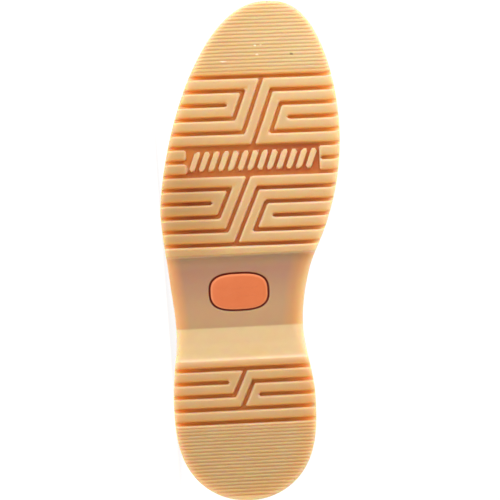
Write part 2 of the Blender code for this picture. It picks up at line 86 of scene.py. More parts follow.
def linear(code: str) -> tuple[float, float, float, float]:
    """Linear RGBA of an sRGB hex code.

    Args:
        code: six hex digits, with or without a leading hash sign.

    Returns:
        Red, green and blue in linear light, and an alpha of 1.
    """
    parts = [int(code.lstrip("#")[i : i + 2], 16) / 255 for i in (0, 2, 4)]
    r, g, b = (p / 12.92 if p <= 0.04045 else ((p + 0.055) / 1.055) ** 2.4 for p in parts)
    return (r, g, b, 1.0)


def per_metre(size_mm: float) -> float:
    """Texture scale that gives one feature per size, on coordinates in metres."""
    return 1.0 / (size_mm * MM)


def set_sockets(tree: NodeTree, node: Node, sockets: dict) -> None:
    """Give a node's inputs, by name or number, their values, or links from output sockets."""
    for name, value in sockets.items():
        if isinstance(value, NodeSocket):
            tree.links.new(value, node.inputs[name])
        else:
            node.inputs[name].default_value = value


def add_node(
    tree: NodeTree, kind: str, sockets: dict | None = None, **settings: object
) -> Node:
    """Add a node with its settings, values and links.

    Args:
        tree: node tree that gets the node.
        kind: Blender's name of the node's type.
        sockets: input name or number to a value, or to an output socket that is linked to it.
        settings: attributes of the node itself.

    Returns:
        The new node.
    """
    made = tree.nodes.new(kind)
    for name, value in settings.items():
        setattr(made, name, value)
    set_sockets(tree, made, sockets or {})
    return made


def new_material(name: str) -> tuple[Material, NodeTree, Node]:
    """Bare material, its node tree and its shader."""
    made = bpy.data.materials.new(name)
    made.use_nodes = True
    return made, made.node_tree, made.node_tree.nodes["Principled BSDF"]


def laid_over(tree: NodeTree, tone: Colour, layers: Sequence[Layer]) -> Colour:
    """Colour with others laid over it.

    Args:
        tree: node tree of the finish.
        tone: the colour underneath.
        layers: attribute that holds each one's share, its hex code or socket, and its strength.

    Returns:
        Socket that gives the colour on top.
    """
    for name, colour, strength in layers:
        share = add_node(tree, "ShaderNodeAttribute", attribute_name=name).outputs["Fac"]
        share = add_node(
            tree, "ShaderNodeMath", {0: share, 1: strength}, operation="MULTIPLY", use_clamp=True
        ).outputs[0]
        over = linear(colour) if isinstance(colour, str) else colour
        tone = add_node(
            tree, "ShaderNodeMix", {"Factor": share, "A": tone, "B": over}, data_type="RGBA"
        ).outputs["Result"]
    return tone


def ramp(values: Array, start: float | Array, end: float | Array) -> Array:
    """Share that goes from 0 at start to 1 at end, and stays so beyond them."""
    return np.clip((values - start) / (end - start), 0, 1)


def read(rows: Sequence[Row], keys: Array | float) -> Array:
    """Values of a two-column table at keys, straight between its rows."""
    return np.interp(keys, *zip(*rows))


def by_side(x: Array, values: dict[Side, float | Array]) -> Array:
    """Value of the side of the foot that each x is on."""
    return np.where(x > 0, values[Side.OUTER], values[Side.INNER])


def curve(rows: Sequence[Row], key: float) -> float:
    """Value of a two-column table at a key, on a smooth curve that is level at both ends.

    Args:
        rows: key and value, keys rising.
        key: where the value is wanted; held inside the table.

    Returns:
        The value.
    """
    keys = [row[0] for row in rows]
    key = min(max(key, keys[0]), keys[-1])
    low = next(i for i in range(len(rows) - 1) if key <= keys[i + 1])
    span = keys[low + 1] - keys[low]

    def slope(at: int) -> float:
        """Slope of the table at one of its rows."""
        if at in (0, len(rows) - 1):
            return 0.0
        return (rows[at + 1][1] - rows[at - 1][1]) / (keys[at + 1] - keys[at - 1])

    t, start, end = (key - keys[low]) / span, slope(low) * span, slope(low + 1) * span
    rise = rows[low + 1][1] - rows[low][1]
    bend = start * t + (3 * rise - 2 * start - end) * t**2 + (start + end - 2 * rise) * t**3
    return rows[low][1] + bend


def add_object(name: str, data: bpy.types.ID | BMesh) -> Object:
    """Object of the scene, with its data or with a finished mesh, which is used up."""
    if isinstance(data, BMesh):
        mesh, data = data, bpy.data.meshes.new(name)
        mesh.to_mesh(data)
        mesh.free()
    made = bpy.data.objects.new(name, data)
    bpy.context.scene.collection.objects.link(made)
    return made


def turn_to(x: Vector, y: Vector, z: Vector) -> Matrix:
    """Turn that takes the three axes to three directions."""
    return Matrix((x, y, z)).transposed().to_4x4()


def places_of(mesh: BMesh) -> Array:
    """Coordinates of a mesh's vertices, one row each, numbered in that order."""
    mesh.verts.ensure_lookup_table()
    mesh.verts.index_update()
    return np.array([vert.co[:] for vert in mesh.verts])


def cut_along(
    mesh: BMesh,
    reach: Field,
    level: float,
    part: Field | None = None,
    snap: float = 0.05,
    margin: float = 0.02,
) -> list[BMVert]:
    """Split the faces of a mesh along the line where a field has one level.

    Args:
        mesh: mesh to cut, in place.
        reach: field over points.
        level: level of the field to cut at.
        part: number of the part that each point is in; an edge is cut only inside one part, and
            never in a part below 0.
        snap: a vertex this near to the line counts as on it.
        margin: share of an edge that a cut keeps away from its ends.

    Returns:
        The vertices on the line.
    """
    points = places_of(mesh)
    values = reach(points) - level
    parts = part(points) if part else np.zeros(len(points))
    edges = list(mesh.edges)
    ends = np.array([[vert.index for vert in edge.verts] for edge in edges])
    a, b = values[ends[:, 0]], values[ends[:, 1]]
    crossing = (a * b < 0) & (np.minimum(abs(a), abs(b)) > snap)
    crossing &= (parts[ends[:, 0]] == parts[ends[:, 1]]) & (parts[ends[:, 0]] >= 0)
    chosen = np.nonzero(crossing)[0]
    a, b = a[chosen], b[chosen]
    starts, stops = points[ends[chosen, 0]], points[ends[chosen, 1]]
    shares = a / (a - b)
    if len(chosen):
        between = reach(starts + (stops - starts) * shares[:, None]) - level
        same = between * a > 0
        later = shares + (1 - shares) * between / np.where(same, between - b, 1.0)
        sooner = shares * a / np.where(same, 1.0, a - between)
        shares = np.clip(np.where(same, later, sooner), margin, 1 - margin)
    on_line = [mesh.verts[i] for i in np.nonzero((abs(values) <= snap) & (parts >= 0))[0]]
    for index, share in zip(chosen, shares):
        edge = edges[index]
        on_line.append(bmesh.utils.edge_split(edge, edge.verts[0], float(share))[1])
    bmesh.ops.connect_verts(mesh, verts=on_line)
    return on_line


def patches(mesh: BMesh, sharp_deg: float) -> list[list[BMFace]]:
    """Faces of a mesh in patches that sharp edges divide.

    Args:
        mesh: mesh to look at.
        sharp_deg: an edge that turns by more than this divides two patches.

    Returns:
        The patches, the largest area first.
    """
    limit = math.radians(sharp_deg)
    seen: set[BMFace] = set()
    found = []
    for face in mesh.faces:
        if face in seen:
            continue
        seen.add(face)
        patch, waiting = [], [face]
        while waiting:
            current = waiting.pop()
            patch.append(current)
            for edge in current.edges:
                if edge.is_manifold and edge.calc_face_angle() > limit:
                    continue
                fresh = [other for other in edge.link_faces if other not in seen]
                seen.update(fresh)
                waiting += fresh
        found.append(patch)
    return sorted(found, key=lambda patch: -sum(face.calc_area() for face in patch))


def trim_sheet(mesh: BMesh, weld: float = 0.02, crumb: float = 0.1) -> None:
    """Take away the points that a sheet only hangs by, and the crumbs beside its large parts.

    Args:
        mesh: the sheet, changed in place.
        weld: edges shorter than this are dissolved.
        crumb: a part with less than this share of the largest part's area is taken away.
    """
    bmesh.ops.dissolve_degenerate(mesh, dist=weld, edges=mesh.edges)
    while knots := [v for v in mesh.verts if sum(e.is_boundary for e in v.link_edges) > 2]:
        bmesh.ops.delete(mesh, geom=knots, context="VERTS")
    parts = patches(mesh, WHOLE_DEG)
    areas = [sum(face.calc_area() for face in part) for part in parts]
    crumbs = [face for part, area in zip(parts, areas) if area < crumb * areas[0] for face in part]
    bmesh.ops.delete(mesh, geom=crumbs, context="FACES")


@dataclass(frozen=True)
class BootFrame:
    """Where the CAD lays the boot, worked out from the record's two mounts on the tread."""

    matrix: Matrix

    @classmethod
    def from_record(cls, record: dict) -> "BootFrame":
        """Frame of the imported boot.

        Args:
            record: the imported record, with the mounts heel_tread and forefoot_tread.

        Returns:
            The frame, whose matrix takes boot millimetres to metres on the floor.
        """
        # Where the two mounts lie in the boot's own plan.
        heel_plan, forefoot_plan = Vector((0.0, 30.0)), Vector((30.0, 187.9))
        mounts = {mount["name"]: mount for mount in record["mounts"]}
        heel = Vector(mounts["heel_tread"]["pos_m"])
        way = Vector(mounts["forefoot_tread"]["pos_m"]) - heel
        up = -Vector(mounts["heel_tread"]["axis"]).normalized()
        way = (way - up * way.dot(up)).normalized()
        beside = up.cross(way)
        plan = (forefoot_plan - heel_plan).normalized()
        outer = way * plan.x - beside * plan.y
        toe = way * plan.y + beside * plan.x
        turn = turn_to(outer, toe, up)
        start = heel - (outer * heel_plan.x + toe * heel_plan.y) * MM
        return cls(Matrix.Translation(start) @ turn @ Matrix.Scale(MM, 4))

    def point(self, x: float, y: float, z: float) -> Vector:
        """Place in the row frame of a point of the boot."""
        return self.matrix @ Vector((x, y, z))

    def way(self, x: float, y: float, z: float) -> Vector:
        """Direction in the row frame of a direction of the boot."""
        return (self.matrix.to_3x3() @ Vector((x, y, z))).normalized()

    def standing_copy(self, node: str) -> BMesh:
        """Merged copy of a CAD node's mesh, in the boot's own millimetres."""
        mesh = bmesh.new()
        mesh.from_mesh(frame["nodes"][node].data)
        bmesh.ops.remove_doubles(mesh, verts=mesh.verts, dist=0.01 * MM)
        bmesh.ops.transform(mesh, matrix=self.matrix.inverted(), verts=mesh.verts)
        return mesh

    def add_piece(
        self,
        name: str,
        mesh: BMesh,
        finishes: Sequence[Material],
        slot: str,
        replaces: str = "",
    ) -> Object:
        """Make a finished mesh a piece of the boot, laid down with it.

        Args:
            name: the piece's name.
            mesh: its mesh in the boot's millimetres, which is used up.
            finishes: its materials, in the order of the faces' numbers.
            slot: the record's material slot; not used.
            replaces: CAD node that it stands for, if any.

        Returns:
            The piece, riding on the root body.
        """
        bmesh.ops.transform(mesh, matrix=self.matrix, verts=mesh.verts)
        piece = add_object(name, mesh)
        for finish in finishes:
            piece.data.materials.append(finish)
        piece.data.shade_smooth()
        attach(piece, "root")
        if replaces:
            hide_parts(replaces)
        LOG.info("%s: %d faces", name, len(piece.data.polygons))
        return piece


@dataclass(frozen=True)
class GumRubber:
    """Compression-moulded gum rubber: matt, a little cloudy, and painted amber where light would pass
    through it.
    """

    light: str = "DDC090"
    warm: str = "D5AD77"
    # What is laid over the plain rubber, in order: attribute with the share, colour, strength. Most of
    # it is painted light and shade: a painted sheen on toe and breast, painted shade on the outer
    # forefoot and heel, and over the recessed arch, deeper towards the step, painted light on the
    # flanks and round the rim, painted shade in the grooves, in the rib valleys and on the bars' edges
    # that face the heel, painted highlights on their other edges, and painted shade in the plug's
    # pocket. Scuffs and the speck are marks of the rubber.
    layers: tuple[Layer, ...] = (
        ("pale", "E0CA9E", 0.6), ("soil", "B8905A", 0.75), ("arch", "CDA57E", 0.85),
        ("shade", "AC6E68", 0.5), ("flank", "EEA962", 0.8), ("glow", "F4D292", 0.8),
        ("rib", "CE9654", 0.55), ("groove", "DE9038", 0.95), ("deep", "E5A045", 0.7),
        ("wear_and_highlight", "FFE8CA", 0.7), ("edge", "F6DFB8", 0.6), ("pocket", "781A04", 1.0),
        ("scuff", "FFF3DC", 1.0), ("speck", "6A4A26", 1.0),
    )
    # What is laid over the grooves: painted shade in red, in the panel and slanting grooves that the
    # key light reaches best and where the tread has its painted shade, then painted light, orange near
    # the outline and at the inner toe, and amber at their ends, for light that would come in through
    # the side.
    groove_layers: tuple[Layer, ...] = (
        ("open", "C15222", 1.0), ("painted_groove_light", "F39E32", 1.0), ("end", "FFC864", 1.0),
    )
    mottle_mm: float = 14.0
    grain_mm: float = 0.7
    grain_depth_mm: float = 0.06
    cloud_mm: float = 7.5
    cloud_rgb: tuple[float, float, float] = (1.0, 0.36, 0.1)
    roughness: Row = (0.42, 0.62)

    def material(self) -> Material:
        """Material whose colours follow the outsole's attributes."""
        made, tree, shader = new_material("moulded_gum_rubber")
        at = add_node(tree, "ShaderNodeTexCoord").outputs["Object"]
        mottle = add_node(
            tree, "ShaderNodeTexNoise",
            {"Vector": at, "Scale": per_metre(self.mottle_mm), "Detail": 3.0, "Roughness": 0.6},
        ).outputs["Fac"]
        tone = add_node(
            tree, "ShaderNodeMix",
            {"Factor": mottle, "A": linear(self.light), "B": linear(self.warm)}, data_type="RGBA",
        ).outputs["Result"]
        for name, colour, strength in self.layers:
            if name == "groove":
                colour = laid_over(tree, linear(colour), self.groove_layers)
            tone = laid_over(tree, tone, [(name, colour, strength)])
        grain = add_node(
            tree, "ShaderNodeTexNoise",
            {"Vector": at, "Scale": per_metre(self.grain_mm), "Detail": 2.0},
        ).outputs["Fac"]
        bump = add_node(
            tree, "ShaderNodeBump",
            {"Height": grain, "Strength": 0.25, "Distance": self.grain_depth_mm * MM},
        ).outputs["Normal"]
        rough = add_node(
            tree, "ShaderNodeMapRange",
            {"Value": mottle, "To Min": self.roughness[0], "To Max": self.roughness[1]},
        ).outputs["Result"]
        set_sockets(tree, shader, {
            "Base Color": tone, "Roughness": rough, "Normal": bump, "IOR": 1.52,
            "Specular IOR Level": 0.25, "Coat Weight": 0.1, "Coat Roughness": 0.4,
            "Subsurface Weight": 1.0, "Subsurface Radius": self.cloud_rgb,
            "Subsurface Scale": self.cloud_mm * MM,
        })
        return made


@dataclass(frozen=True)
class PlugRubber:
    """Injection-moulded orange rubber: even and satin, with a faint moulding haze."""

    light: str = "EE8148"
    deep: str = "E17038"
    # Painted highlight along the plug's rim.
    edge: str = "F8915A"
    haze_mm: float = 9.0
    grain_mm: float = 0.6
    grain_depth_mm: float = 0.05
    roughness: Row = (0.38, 0.52)

    def material(self) -> Material:
        """Material of the plug, with a painted highlight along its attribute edge."""
        made, tree, shader = new_material("moulded_orange_rubber")
        at = add_node(tree, "ShaderNodeTexCoord").outputs["Object"]
        haze = add_node(
            tree, "ShaderNodeTexNoise", {"Vector": at, "Scale": per_metre(self.haze_mm), "Detail": 3.0}
        ).outputs["Fac"]
        tone = add_node(
            tree, "ShaderNodeMix",
            {"Factor": haze, "A": linear(self.light), "B": linear(self.deep)}, data_type="RGBA",
        ).outputs["Result"]
        grain = add_node(
            tree, "ShaderNodeTexNoise", {"Vector": at, "Scale": per_metre(self.grain_mm)}
        ).outputs["Fac"]
        bump = add_node(
            tree, "ShaderNodeBump",
            {"Height": grain, "Strength": 0.2, "Distance": self.grain_depth_mm * MM},
        ).outputs["Normal"]
        rough = add_node(
            tree, "ShaderNodeMapRange",
            {"Value": haze, "To Min": self.roughness[0], "To Max": self.roughness[1]},
        ).outputs["Result"]
        tone = laid_over(tree, tone, [("edge", self.edge, 1.0)])
        set_sockets(
            tree, shader, {"Base Color": tone, "Roughness": rough, "Normal": bump, "IOR": 1.52}
        )
        return made


@dataclass(frozen=True)
class Leather:
    """Tanned cattle hide: a pebbled grain over cloudy colour, with gloss that follows the oil in it."""

    name: str
    light: str
    dark: str
    wear_and_highlight: str
    roughness: Row = (0.42, 0.66)
    grain_mm: float = 1.3
    grain_depth_mm: float = 0.16
    grain_warp_mm: float = 1.2
    cloud_mm: float = 34.0
    coat: float = 0.08

    def material(self) -> Material:
        """Material that pales along the attribute fold, as oiled hide does where it bends."""
        made, tree, shader = new_material(self.name)
        at = add_node(tree, "ShaderNodeTexCoord").outputs["Object"]
        cloud = add_node(
            tree, "ShaderNodeTexNoise",
            {"Vector": at, "Scale": per_metre(self.cloud_mm), "Detail": 5.0, "Roughness": 0.62},
        ).outputs["Fac"]
        spread, rough = (
            add_node(
                tree, "ShaderNodeMapRange",
                {"Value": cloud, "From Min": 0.3, "From Max": 0.7, "To Min": low, "To Max": high},
            ).outputs["Result"]
            for low, high in ((0.0, 1.0), self.roughness)
        )
        # Pebbles are drawn about twice their real size, so that they show in a small render.
        warp = add_node(
            tree, "ShaderNodeTexNoise", {"Vector": at, "Scale": per_metre(2.4 * self.grain_mm)}
        ).outputs["Color"]
        bent = add_node(
            tree, "ShaderNodeVectorMath",
            {0: warp, 1: (self.grain_warp_mm * MM,) * 3, 2: at}, operation="MULTIPLY_ADD",
        ).outputs["Vector"]
        pebble = add_node(
            tree, "ShaderNodeTexVoronoi",
            {"Vector": bent, "Scale": per_metre(self.grain_mm), "Smoothness": 0.35},
            feature="SMOOTH_F1",
        ).outputs["Distance"]
        furrow = add_node(
            tree, "ShaderNodeMapRange",
            {"Value": pebble, "From Min": 0.25, "From Max": 0.75, "To Min": 0.0, "To Max": 0.35},
        ).outputs["Result"]
        tone = linear(self.dark)
        for share, colour in ((spread, self.light), (furrow, self.dark)):
            tone = add_node(
                tree, "ShaderNodeMix", {"Factor": share, "A": tone, "B": linear(colour)},
                data_type="RGBA",
            ).outputs["Result"]
        tone = laid_over(tree, tone, [("fold", self.wear_and_highlight, 1.0)])
        bump = add_node(
            tree, "ShaderNodeBump",
            {"Height": pebble, "Strength": 0.5, "Distance": self.grain_depth_mm * MM}, invert=True,
        ).outputs["Normal"]
        set_sockets(tree, shader, {
            "Base Color": tone, "Roughness": rough, "Normal": bump, "IOR": 1.5,
            "Coat Weight": self.coat, "Coat Roughness": 0.35,
        })
        return made


@dataclass(frozen=True)
class WaxedThread:
    """Twisted polyester thread, waxed: pale, with slanting plies that catch the light."""

    light: str = "D8C198"
    dark: str = "A98C5E"
    ply_mm: float = 0.55
    ply_depth_mm: float = 0.1

    def material(self) -> Material:
        """Material of the stitches."""
        made, tree, shader = new_material("waxed_polyester_thread")
        at = add_node(tree, "ShaderNodeTexCoord").outputs["Object"]
        ply = add_node(
            tree, "ShaderNodeTexWave",
            {"Vector": at, "Scale": per_metre(self.ply_mm) / 20.0, "Distortion": 1.5},
            bands_direction="DIAGONAL",
        ).outputs["Fac"]
        tone = add_node(
            tree, "ShaderNodeMix",
            {"Factor": ply, "A": linear(self.dark), "B": linear(self.light)}, data_type="RGBA",
        ).outputs["Result"]
        bump = add_node(
            tree, "ShaderNodeBump",
            {"Height": ply, "Strength": 0.4, "Distance": self.ply_depth_mm * MM},
        ).outputs["Normal"]
        set_sockets(tree, shader, {"Base Color": tone, "Roughness": 0.55, "Normal": bump})
        return made


@dataclass(frozen=True)
class SolePlan:
    """Outline, seat, tread and arch of the sole, as the CAD has them."""

    length: float = 308.0
    toe_swing: float = 23.7
    heel_reach: float = 62.0
    toe_reach: float = 82.0
    heel_arc: Row = (2.9, 2.0)
    toe_arcs: dict[Side, Row] = field(
        default_factory=lambda: {Side.OUTER: (1.45, 2.05), Side.INNER: (1.85, 2.6)}
    )
    sides: dict[Side, tuple[Row, ...]] = field(
        default_factory=lambda: {
            Side.OUTER: ((62, 44.3), (104, 40.9), (140, 43.7), (180, 46.9)),
            Side.INNER: (
                (62, 43.7), (106, 38.2), (140, 43.4), (170, 56.0), (196, 63.4), (226, 66.4),
            ),
        }
    )
    seat_rows: tuple[Row, ...] = (
        (0, 33.0), (60, 31.5), (107, 26.5), (152, 19.0), (200, 14.5), (240, 14.0), (275, 16.2),
        (308, 22.0),
    )
    breast_rows: tuple[Row, ...] = ((87.5, 0.0), (91.0, 7.0), (97.5, 12.5), (107.0, 16.5))
    arch_start: float = 107.0
    arch_height: float = 16.5
    step_start: float = 151.0
    step_height: float = 5.0
    heel_end: float = 87.5
    forefoot_start: float = 152.0
    spring_start: float = 226.0
    spring_height: float = 8.5
    edge_round: float = 0.6
    # Tread that is pressed ends this far from the front of the heel and the start of the forefoot.
    tread_margin: Row = (2.0, 1.0)
    outline_steps: int = 240

    def drawn_in(self, station: float, inset: float) -> float:
        """Station of the whole sole, moved to where it lies on an outline drawn in by inset."""
        if station < self.heel_reach:
            return inset + station * (1 - inset / self.heel_reach)
        if station > self.length - self.toe_reach:
            left = (self.length - station) * (1 - inset / self.toe_reach)
            return self.length - inset - left
        return station

    def station_of(self, y: float, inset: float) -> float:
        """Station whose row on an outline drawn in by inset lies at y."""
        if y < self.heel_reach:
            return max(0.0, (y - inset) / (1 - inset / self.heel_reach))
        if y > self.length - self.toe_reach:
            left = (self.length - inset - y) / (1 - inset / self.toe_reach)
            return min(self.length, self.length - left)
        return y

    def half_width(self, side: Side, y: float, inset: float) -> float:
        """Distance from the heel's middle line to one side of the outline.

        Args:
            side: side of the foot.
            y: place along the foot.
            inset: how far the outline is drawn in.

        Returns:
            The distance, below 0 where the toe swings past the line.
        """
        rows = self.sides[side]
        (first_y, first_half), (last_y, last_half) = rows[0], rows[-1]
        tip = -side.value * self.toe_swing
        if y < first_y:
            power, root = self.heel_arc
            reach = min(1.0, max(0.0, (first_y - y) / (first_y - inset)))
            return (first_half - inset) * (1 - reach**power) ** (1 / root)
        if y > last_y:
            power, root = self.toe_arcs[side]
            reach = min(1.0, max(0.0, (y - last_y) / (self.length - inset - last_y)))
            return tip + (last_half - inset - tip) * (1 - reach**power) ** (1 / root)
        return curve(rows, y) - inset

    def edge_x(self, side: Side, y: float, inset: float) -> float:
        """x of one side of the outline drawn in by inset."""
        return side.value * self.half_width(side, y, inset)

    def edge_gap(self, points: Array) -> Array:
        """Distance of points from the outline in plan."""
        turns = np.linspace(0.0, np.pi, self.outline_steps)
        stations = self.length / 2 * (1 - np.cos(turns))
        outline = np.array([(self.edge_x(s, y, 0.0), y) for s in Side for y in stations])
        return np.min([np.hypot(points[:, 0] - x, points[:, 1] - y) for x, y in outline], axis=0)

    def on_tread(self, y: Array) -> Array:
        """Whether stations lie on the pressed tread of heel or forefoot."""
        heel, forefoot = self.tread_margin
        return (y < self.heel_end - heel) | (y > self.forefoot_start + forefoot)

    def spring(self, y: Array | float) -> Array | float:
        """Rise of the tread towards the toe."""
        share = np.maximum(0.0, (y - self.spring_start) / (self.length - self.spring_start))
        return self.spring_height * share**2

    def seat(self, y: float) -> float:
        """Height of the top of the sole."""
        return curve(self.seat_rows, y)

    def arch_share(self, y: float) -> float:
        """1 under the arch and 0 under heel and forefoot, whose flanks are square."""
        if y <= self.heel_end or y >= self.forefoot_start:
            return 0.0
        return min(1.0, (y - self.heel_end) / (self.arch_start - self.heel_end))

    def underside(self, y: float) -> float:
        """Height of the bare underside, with no edge rounded."""
        if y <= self.heel_end or y >= self.forefoot_start:
            return float(self.spring(y))
        if y < self.arch_start:
            return float(read(self.breast_rows, y))
        if y < self.step_start:
            share = (y - self.arch_start) / (self.step_start - self.arch_start)
            return self.arch_height + share * (self.step_height - self.arch_height)
        share = (y - self.step_start) / (self.forefoot_start - self.step_start)
        return self.step_height * (1 - share)

    def tread(self, y: float) -> float:
        """Height of the underside with its edges across the foot rounded."""
        steps = np.linspace(-self.edge_round, self.edge_round, 7)
        return float(np.mean([self.underside(y + step) for step in steps]))


@dataclass(frozen=True)
class Groove:
    """One straight stretch of a tread groove in plan."""

    start: Vector
    end: Vector
    start_mitre: Vector | None = None
    end_mitre: Vector | None = None
    round_end: bool = False

    def frame_of(self, points: Array) -> tuple[Array, Array]:
        """Distances of points along the stretch from its start, and square to it."""
        way = (self.end - self.start).normalized()
        away = points[:, :2] - np.array(self.start)
        return away @ np.array(way), away @ np.array((-way.y, way.x))

    def reach(self, points: Array, half: float) -> Array:
        """Signed distance of points to the groove's lip.

        Args:
            points: places on the tread.
            half: half the groove's width.

        Returns:
            Distances, below 0 inside the groove and far off beyond its mitres.
        """
        along, across = self.frame_of(points)
        beside, over = abs(across) - half, np.full(len(points), -FAR)
        if self.start_mitre is None:
            over = np.maximum(over, -along)
        if self.end_mitre is None:
            over = np.maximum(over, along - (self.end - self.start).length)
        if self.round_end:
            found = np.hypot(np.maximum(over, 0), across) - half
        else:
            outside = np.hypot(np.maximum(over, 0), np.maximum(beside, 0))
            found = outside + np.minimum(np.maximum(over, beside), 0)
        for place, mitre, sign in ((self.start, self.start_mitre, -1), (self.end, self.end_mitre, 1)):
            if mitre is not None:
                beyond = sign * (points[:, :2] - np.array(place)) @ np.array(mitre) > 1e-6
                found = np.where(beyond, FAR, found)
        return found


@dataclass(frozen=True)
class KeyField:
    """Field of nested keys between two full lines of the tread."""

    first_line: float
    pitch: float
    gaps: int
    centre_x: float
    slant_deg: float


@dataclass(frozen=True)
class Tread:
    """Grooves, sunk panel and fine ribs of the tread, as fields over the plan of the sole."""

    plan: SolePlan
    half: float = 1.4
    depth: float = 3.5
    past_edge: float = 75.0
    forefoot_first: float = 261.0
    forefoot_pitch: float = 8.585
    heel_first: float = 81.6
    heel_pitch: float = 8.18
    dead_end: float = 0.47
    forefoot_full: tuple[int, ...] = (0, 5, 7, 12)
    heel_full: tuple[int, ...] = (0, 3, 4)
    panel_outer: float = 29.4
    panel_inner: float = 53.2
    bar_count: int = 13
    bar_margin: float = 2.4
    bar_half: float = 1.65
    bar_reach: float = 5.8
    bar_top: float = 0.4
    panel_line: int = 6
    # Wall of a groove from its floor to the crown of the tread: distance from the lip, and depth.
    wall: tuple[Row, ...] = (
        (-0.85, 3.5), (-0.62, 3.3), (-0.45, 2.8), (-0.12, 1.25), (0.0, 0.8), (0.18, 0.46),
        (0.42, 0.21), (0.75, 0.07), (1.3, 0.0),
    )
    toe_ribs: tuple[float, float, int] = (264.6, 2.25, 19)
    heel_ribs: tuple[float, float, int] = (3.8, 2.11, 21)
    rib_wall: tuple[Row, ...] = ((0.0, 0.45), (0.2, 0.4), (0.48, 0.16), (0.75, 0.03), (1.0, 0.0))
    # Painted shade in the hollows: on the panel's floor, by x from the dim outer to the bright inner
    # side, and in the slanting grooves up to this distance outside their lips.
    panel_shade: tuple[Row, ...] = ((-33.0, 0.8), (44.0, 0.1))
    slant_shade: float = 0.6
    slant_margin: float = 0.1
    # Edges of the bars: where in the wall they begin and are full, what a side counts beside the toe,
    # and how far the painted highlight and the painted orange shade run on over the bar.
    lip_wall: tuple[Row, ...] = ((-0.4, 0.0), (-0.1, 1.0))
    side_highlight: float = 0.8
    highlight_run: float = 0.55
    shade_run: float = 1.5

    def fields(self) -> list[KeyField]:
        """The three fields of nested keys."""
        fore, heel = self.forefoot_pitch, self.heel_pitch
        second = self.line_y(self.panel_line + 1)
        return [
            KeyField(self.forefoot_first, fore, gaps=5, centre_x=-16.0, slant_deg=21.0),
            KeyField(second, fore, gaps=5, centre_x=-4.0, slant_deg=24.0),
            KeyField(self.heel_first, heel, gaps=3, centre_x=0.3, slant_deg=25.5),
        ]

    def key_paths(self, keys: KeyField) -> list[tuple[list[Vector], bool]]:
        """Groove paths of one field of keys, each with a half-turned twin about the centre.

        Args:
            keys: the field.

        Returns:
            Paths in plan, and whether the last end is round.
        """
        nests = (keys.gaps - 1) // 2
        middle = keys.first_line - keys.pitch * keys.gaps / 2
        lean = math.tan(math.radians(keys.slant_deg))

        def on_slant(order: float, line: int) -> Vector:
            """Point where a slanting groove crosses a line."""
            y = keys.first_line - keys.pitch * line
            return Vector((keys.centre_x + order * keys.pitch + (middle - y) * lean, y))

        def at_edge(line: int) -> Vector:
            """Point on a line, past the outer edge."""
            return Vector((self.past_edge, keys.first_line - keys.pitch * line))

        paths = []
        for nest in range(nests):
            low = keys.gaps - 1 - nest
            start = [at_edge(nest)] if nest else []
            ends = [on_slant(nest + 0.5, nest), on_slant(nest + 0.5, low), at_edge(low)]
            paths.append((start + ends, False))
        paths.append(([at_edge(nests), on_slant(nests + self.dead_end, nests)], True))
        centre = Vector((keys.centre_x, middle))
        return paths + [([2 * centre - p for p in path], end) for path, end in paths]

    def line_y(self, line: float) -> float:
        """Station of a line of the forefoot."""
        return self.forefoot_first - line * self.forefoot_pitch

    def panel_y(self) -> float:
        """Station of the middle line of the sunk panel."""
        return self.line_y(self.panel_line)

    def in_panel(self, points: Array) -> Array:
        """Whether points lie in the sunk panel, in plan."""
        here = abs(points[:, 1] - self.panel_y()) < self.forefoot_pitch
        return here & (points[:, 0] < self.panel_outer) & (points[:, 0] > -self.panel_inner)

    def grooves(self) -> list[Groove]:
        """Every straight stretch of groove, mitred where a path turns."""
        paths = [item for keys in self.fields() for item in self.key_paths(keys)]
        lines = [self.line_y(line) for line in self.forefoot_full]
        lines += [self.heel_first - line * self.heel_pitch for line in self.heel_full]
        for y in lines:
            paths.append(([Vector((self.past_edge, y)), Vector((-self.past_edge, y))], False))
        for reach, stop in ((1, self.panel_outer), (-1, -self.panel_inner)):
            ends = [Vector((x, self.panel_y())) for x in (reach * self.past_edge, stop)]
            paths.append((ends, False))
        found = []
        for path, round_end in paths:
            ways = [(b - a).normalized() for a, b in zip(path, path[1:])]
            mitres = [None, *((a + b).normalized() for a, b in zip(ways, ways[1:])), None]
            for i, (a, b) in enumerate(zip(path, path[1:])):
                last = round_end and i == len(path) - 2
                found.append(Groove(a, b, mitres[i], mitres[i + 1], last))
        return found

    def bar_places(self) -> Array:
        """x of the middles of the panel's bars, on its middle line."""
        pitch = (self.panel_outer + self.panel_inner - 2 * self.bar_margin) / self.bar_count
        return -self.panel_inner + self.bar_margin + (np.arange(self.bar_count) + 0.5) * pitch

    def upright(self, points: Array) -> Array:
        """x of points once the lean of the panel's bars is taken out."""
        lean = math.tan(math.radians(self.fields()[0].slant_deg))
        return points[:, 0] + (points[:, 1] - self.panel_y()) * lean

    def bar_reach_of(self, points: Array) -> Array:
        """Signed distance of points to the nearest bar of the panel, below 0 inside it."""
        near = abs(self.upright(points)[:, None] - self.bar_places()[None, :]).min(axis=1)
        return np.maximum(near - self.bar_half, abs(points[:, 1] - self.panel_y()) - self.bar_reach)

    def reach(self, points: Array) -> Array:
        """Signed distance of points to the lip of the nearest hollow, below 0 inside it."""
        found = np.min([g.reach(points, self.half) for g in self.grooves()], axis=0)
        middle = (self.panel_outer - self.panel_inner) / 2
        long = abs(points[:, 0] - middle) - (self.panel_outer + self.panel_inner) / 2
        wide = abs(points[:, 1] - self.panel_y()) - self.forefoot_pitch
        panel = np.maximum(np.maximum(long, wide), -self.bar_reach_of(points))
        return np.minimum(found, panel)

    def slants(self) -> list[Groove]:
        """The stretches of groove that slant across the foot."""
        return [g for g in self.grooves() if abs(g.end.y - g.start.y) > 1.0]

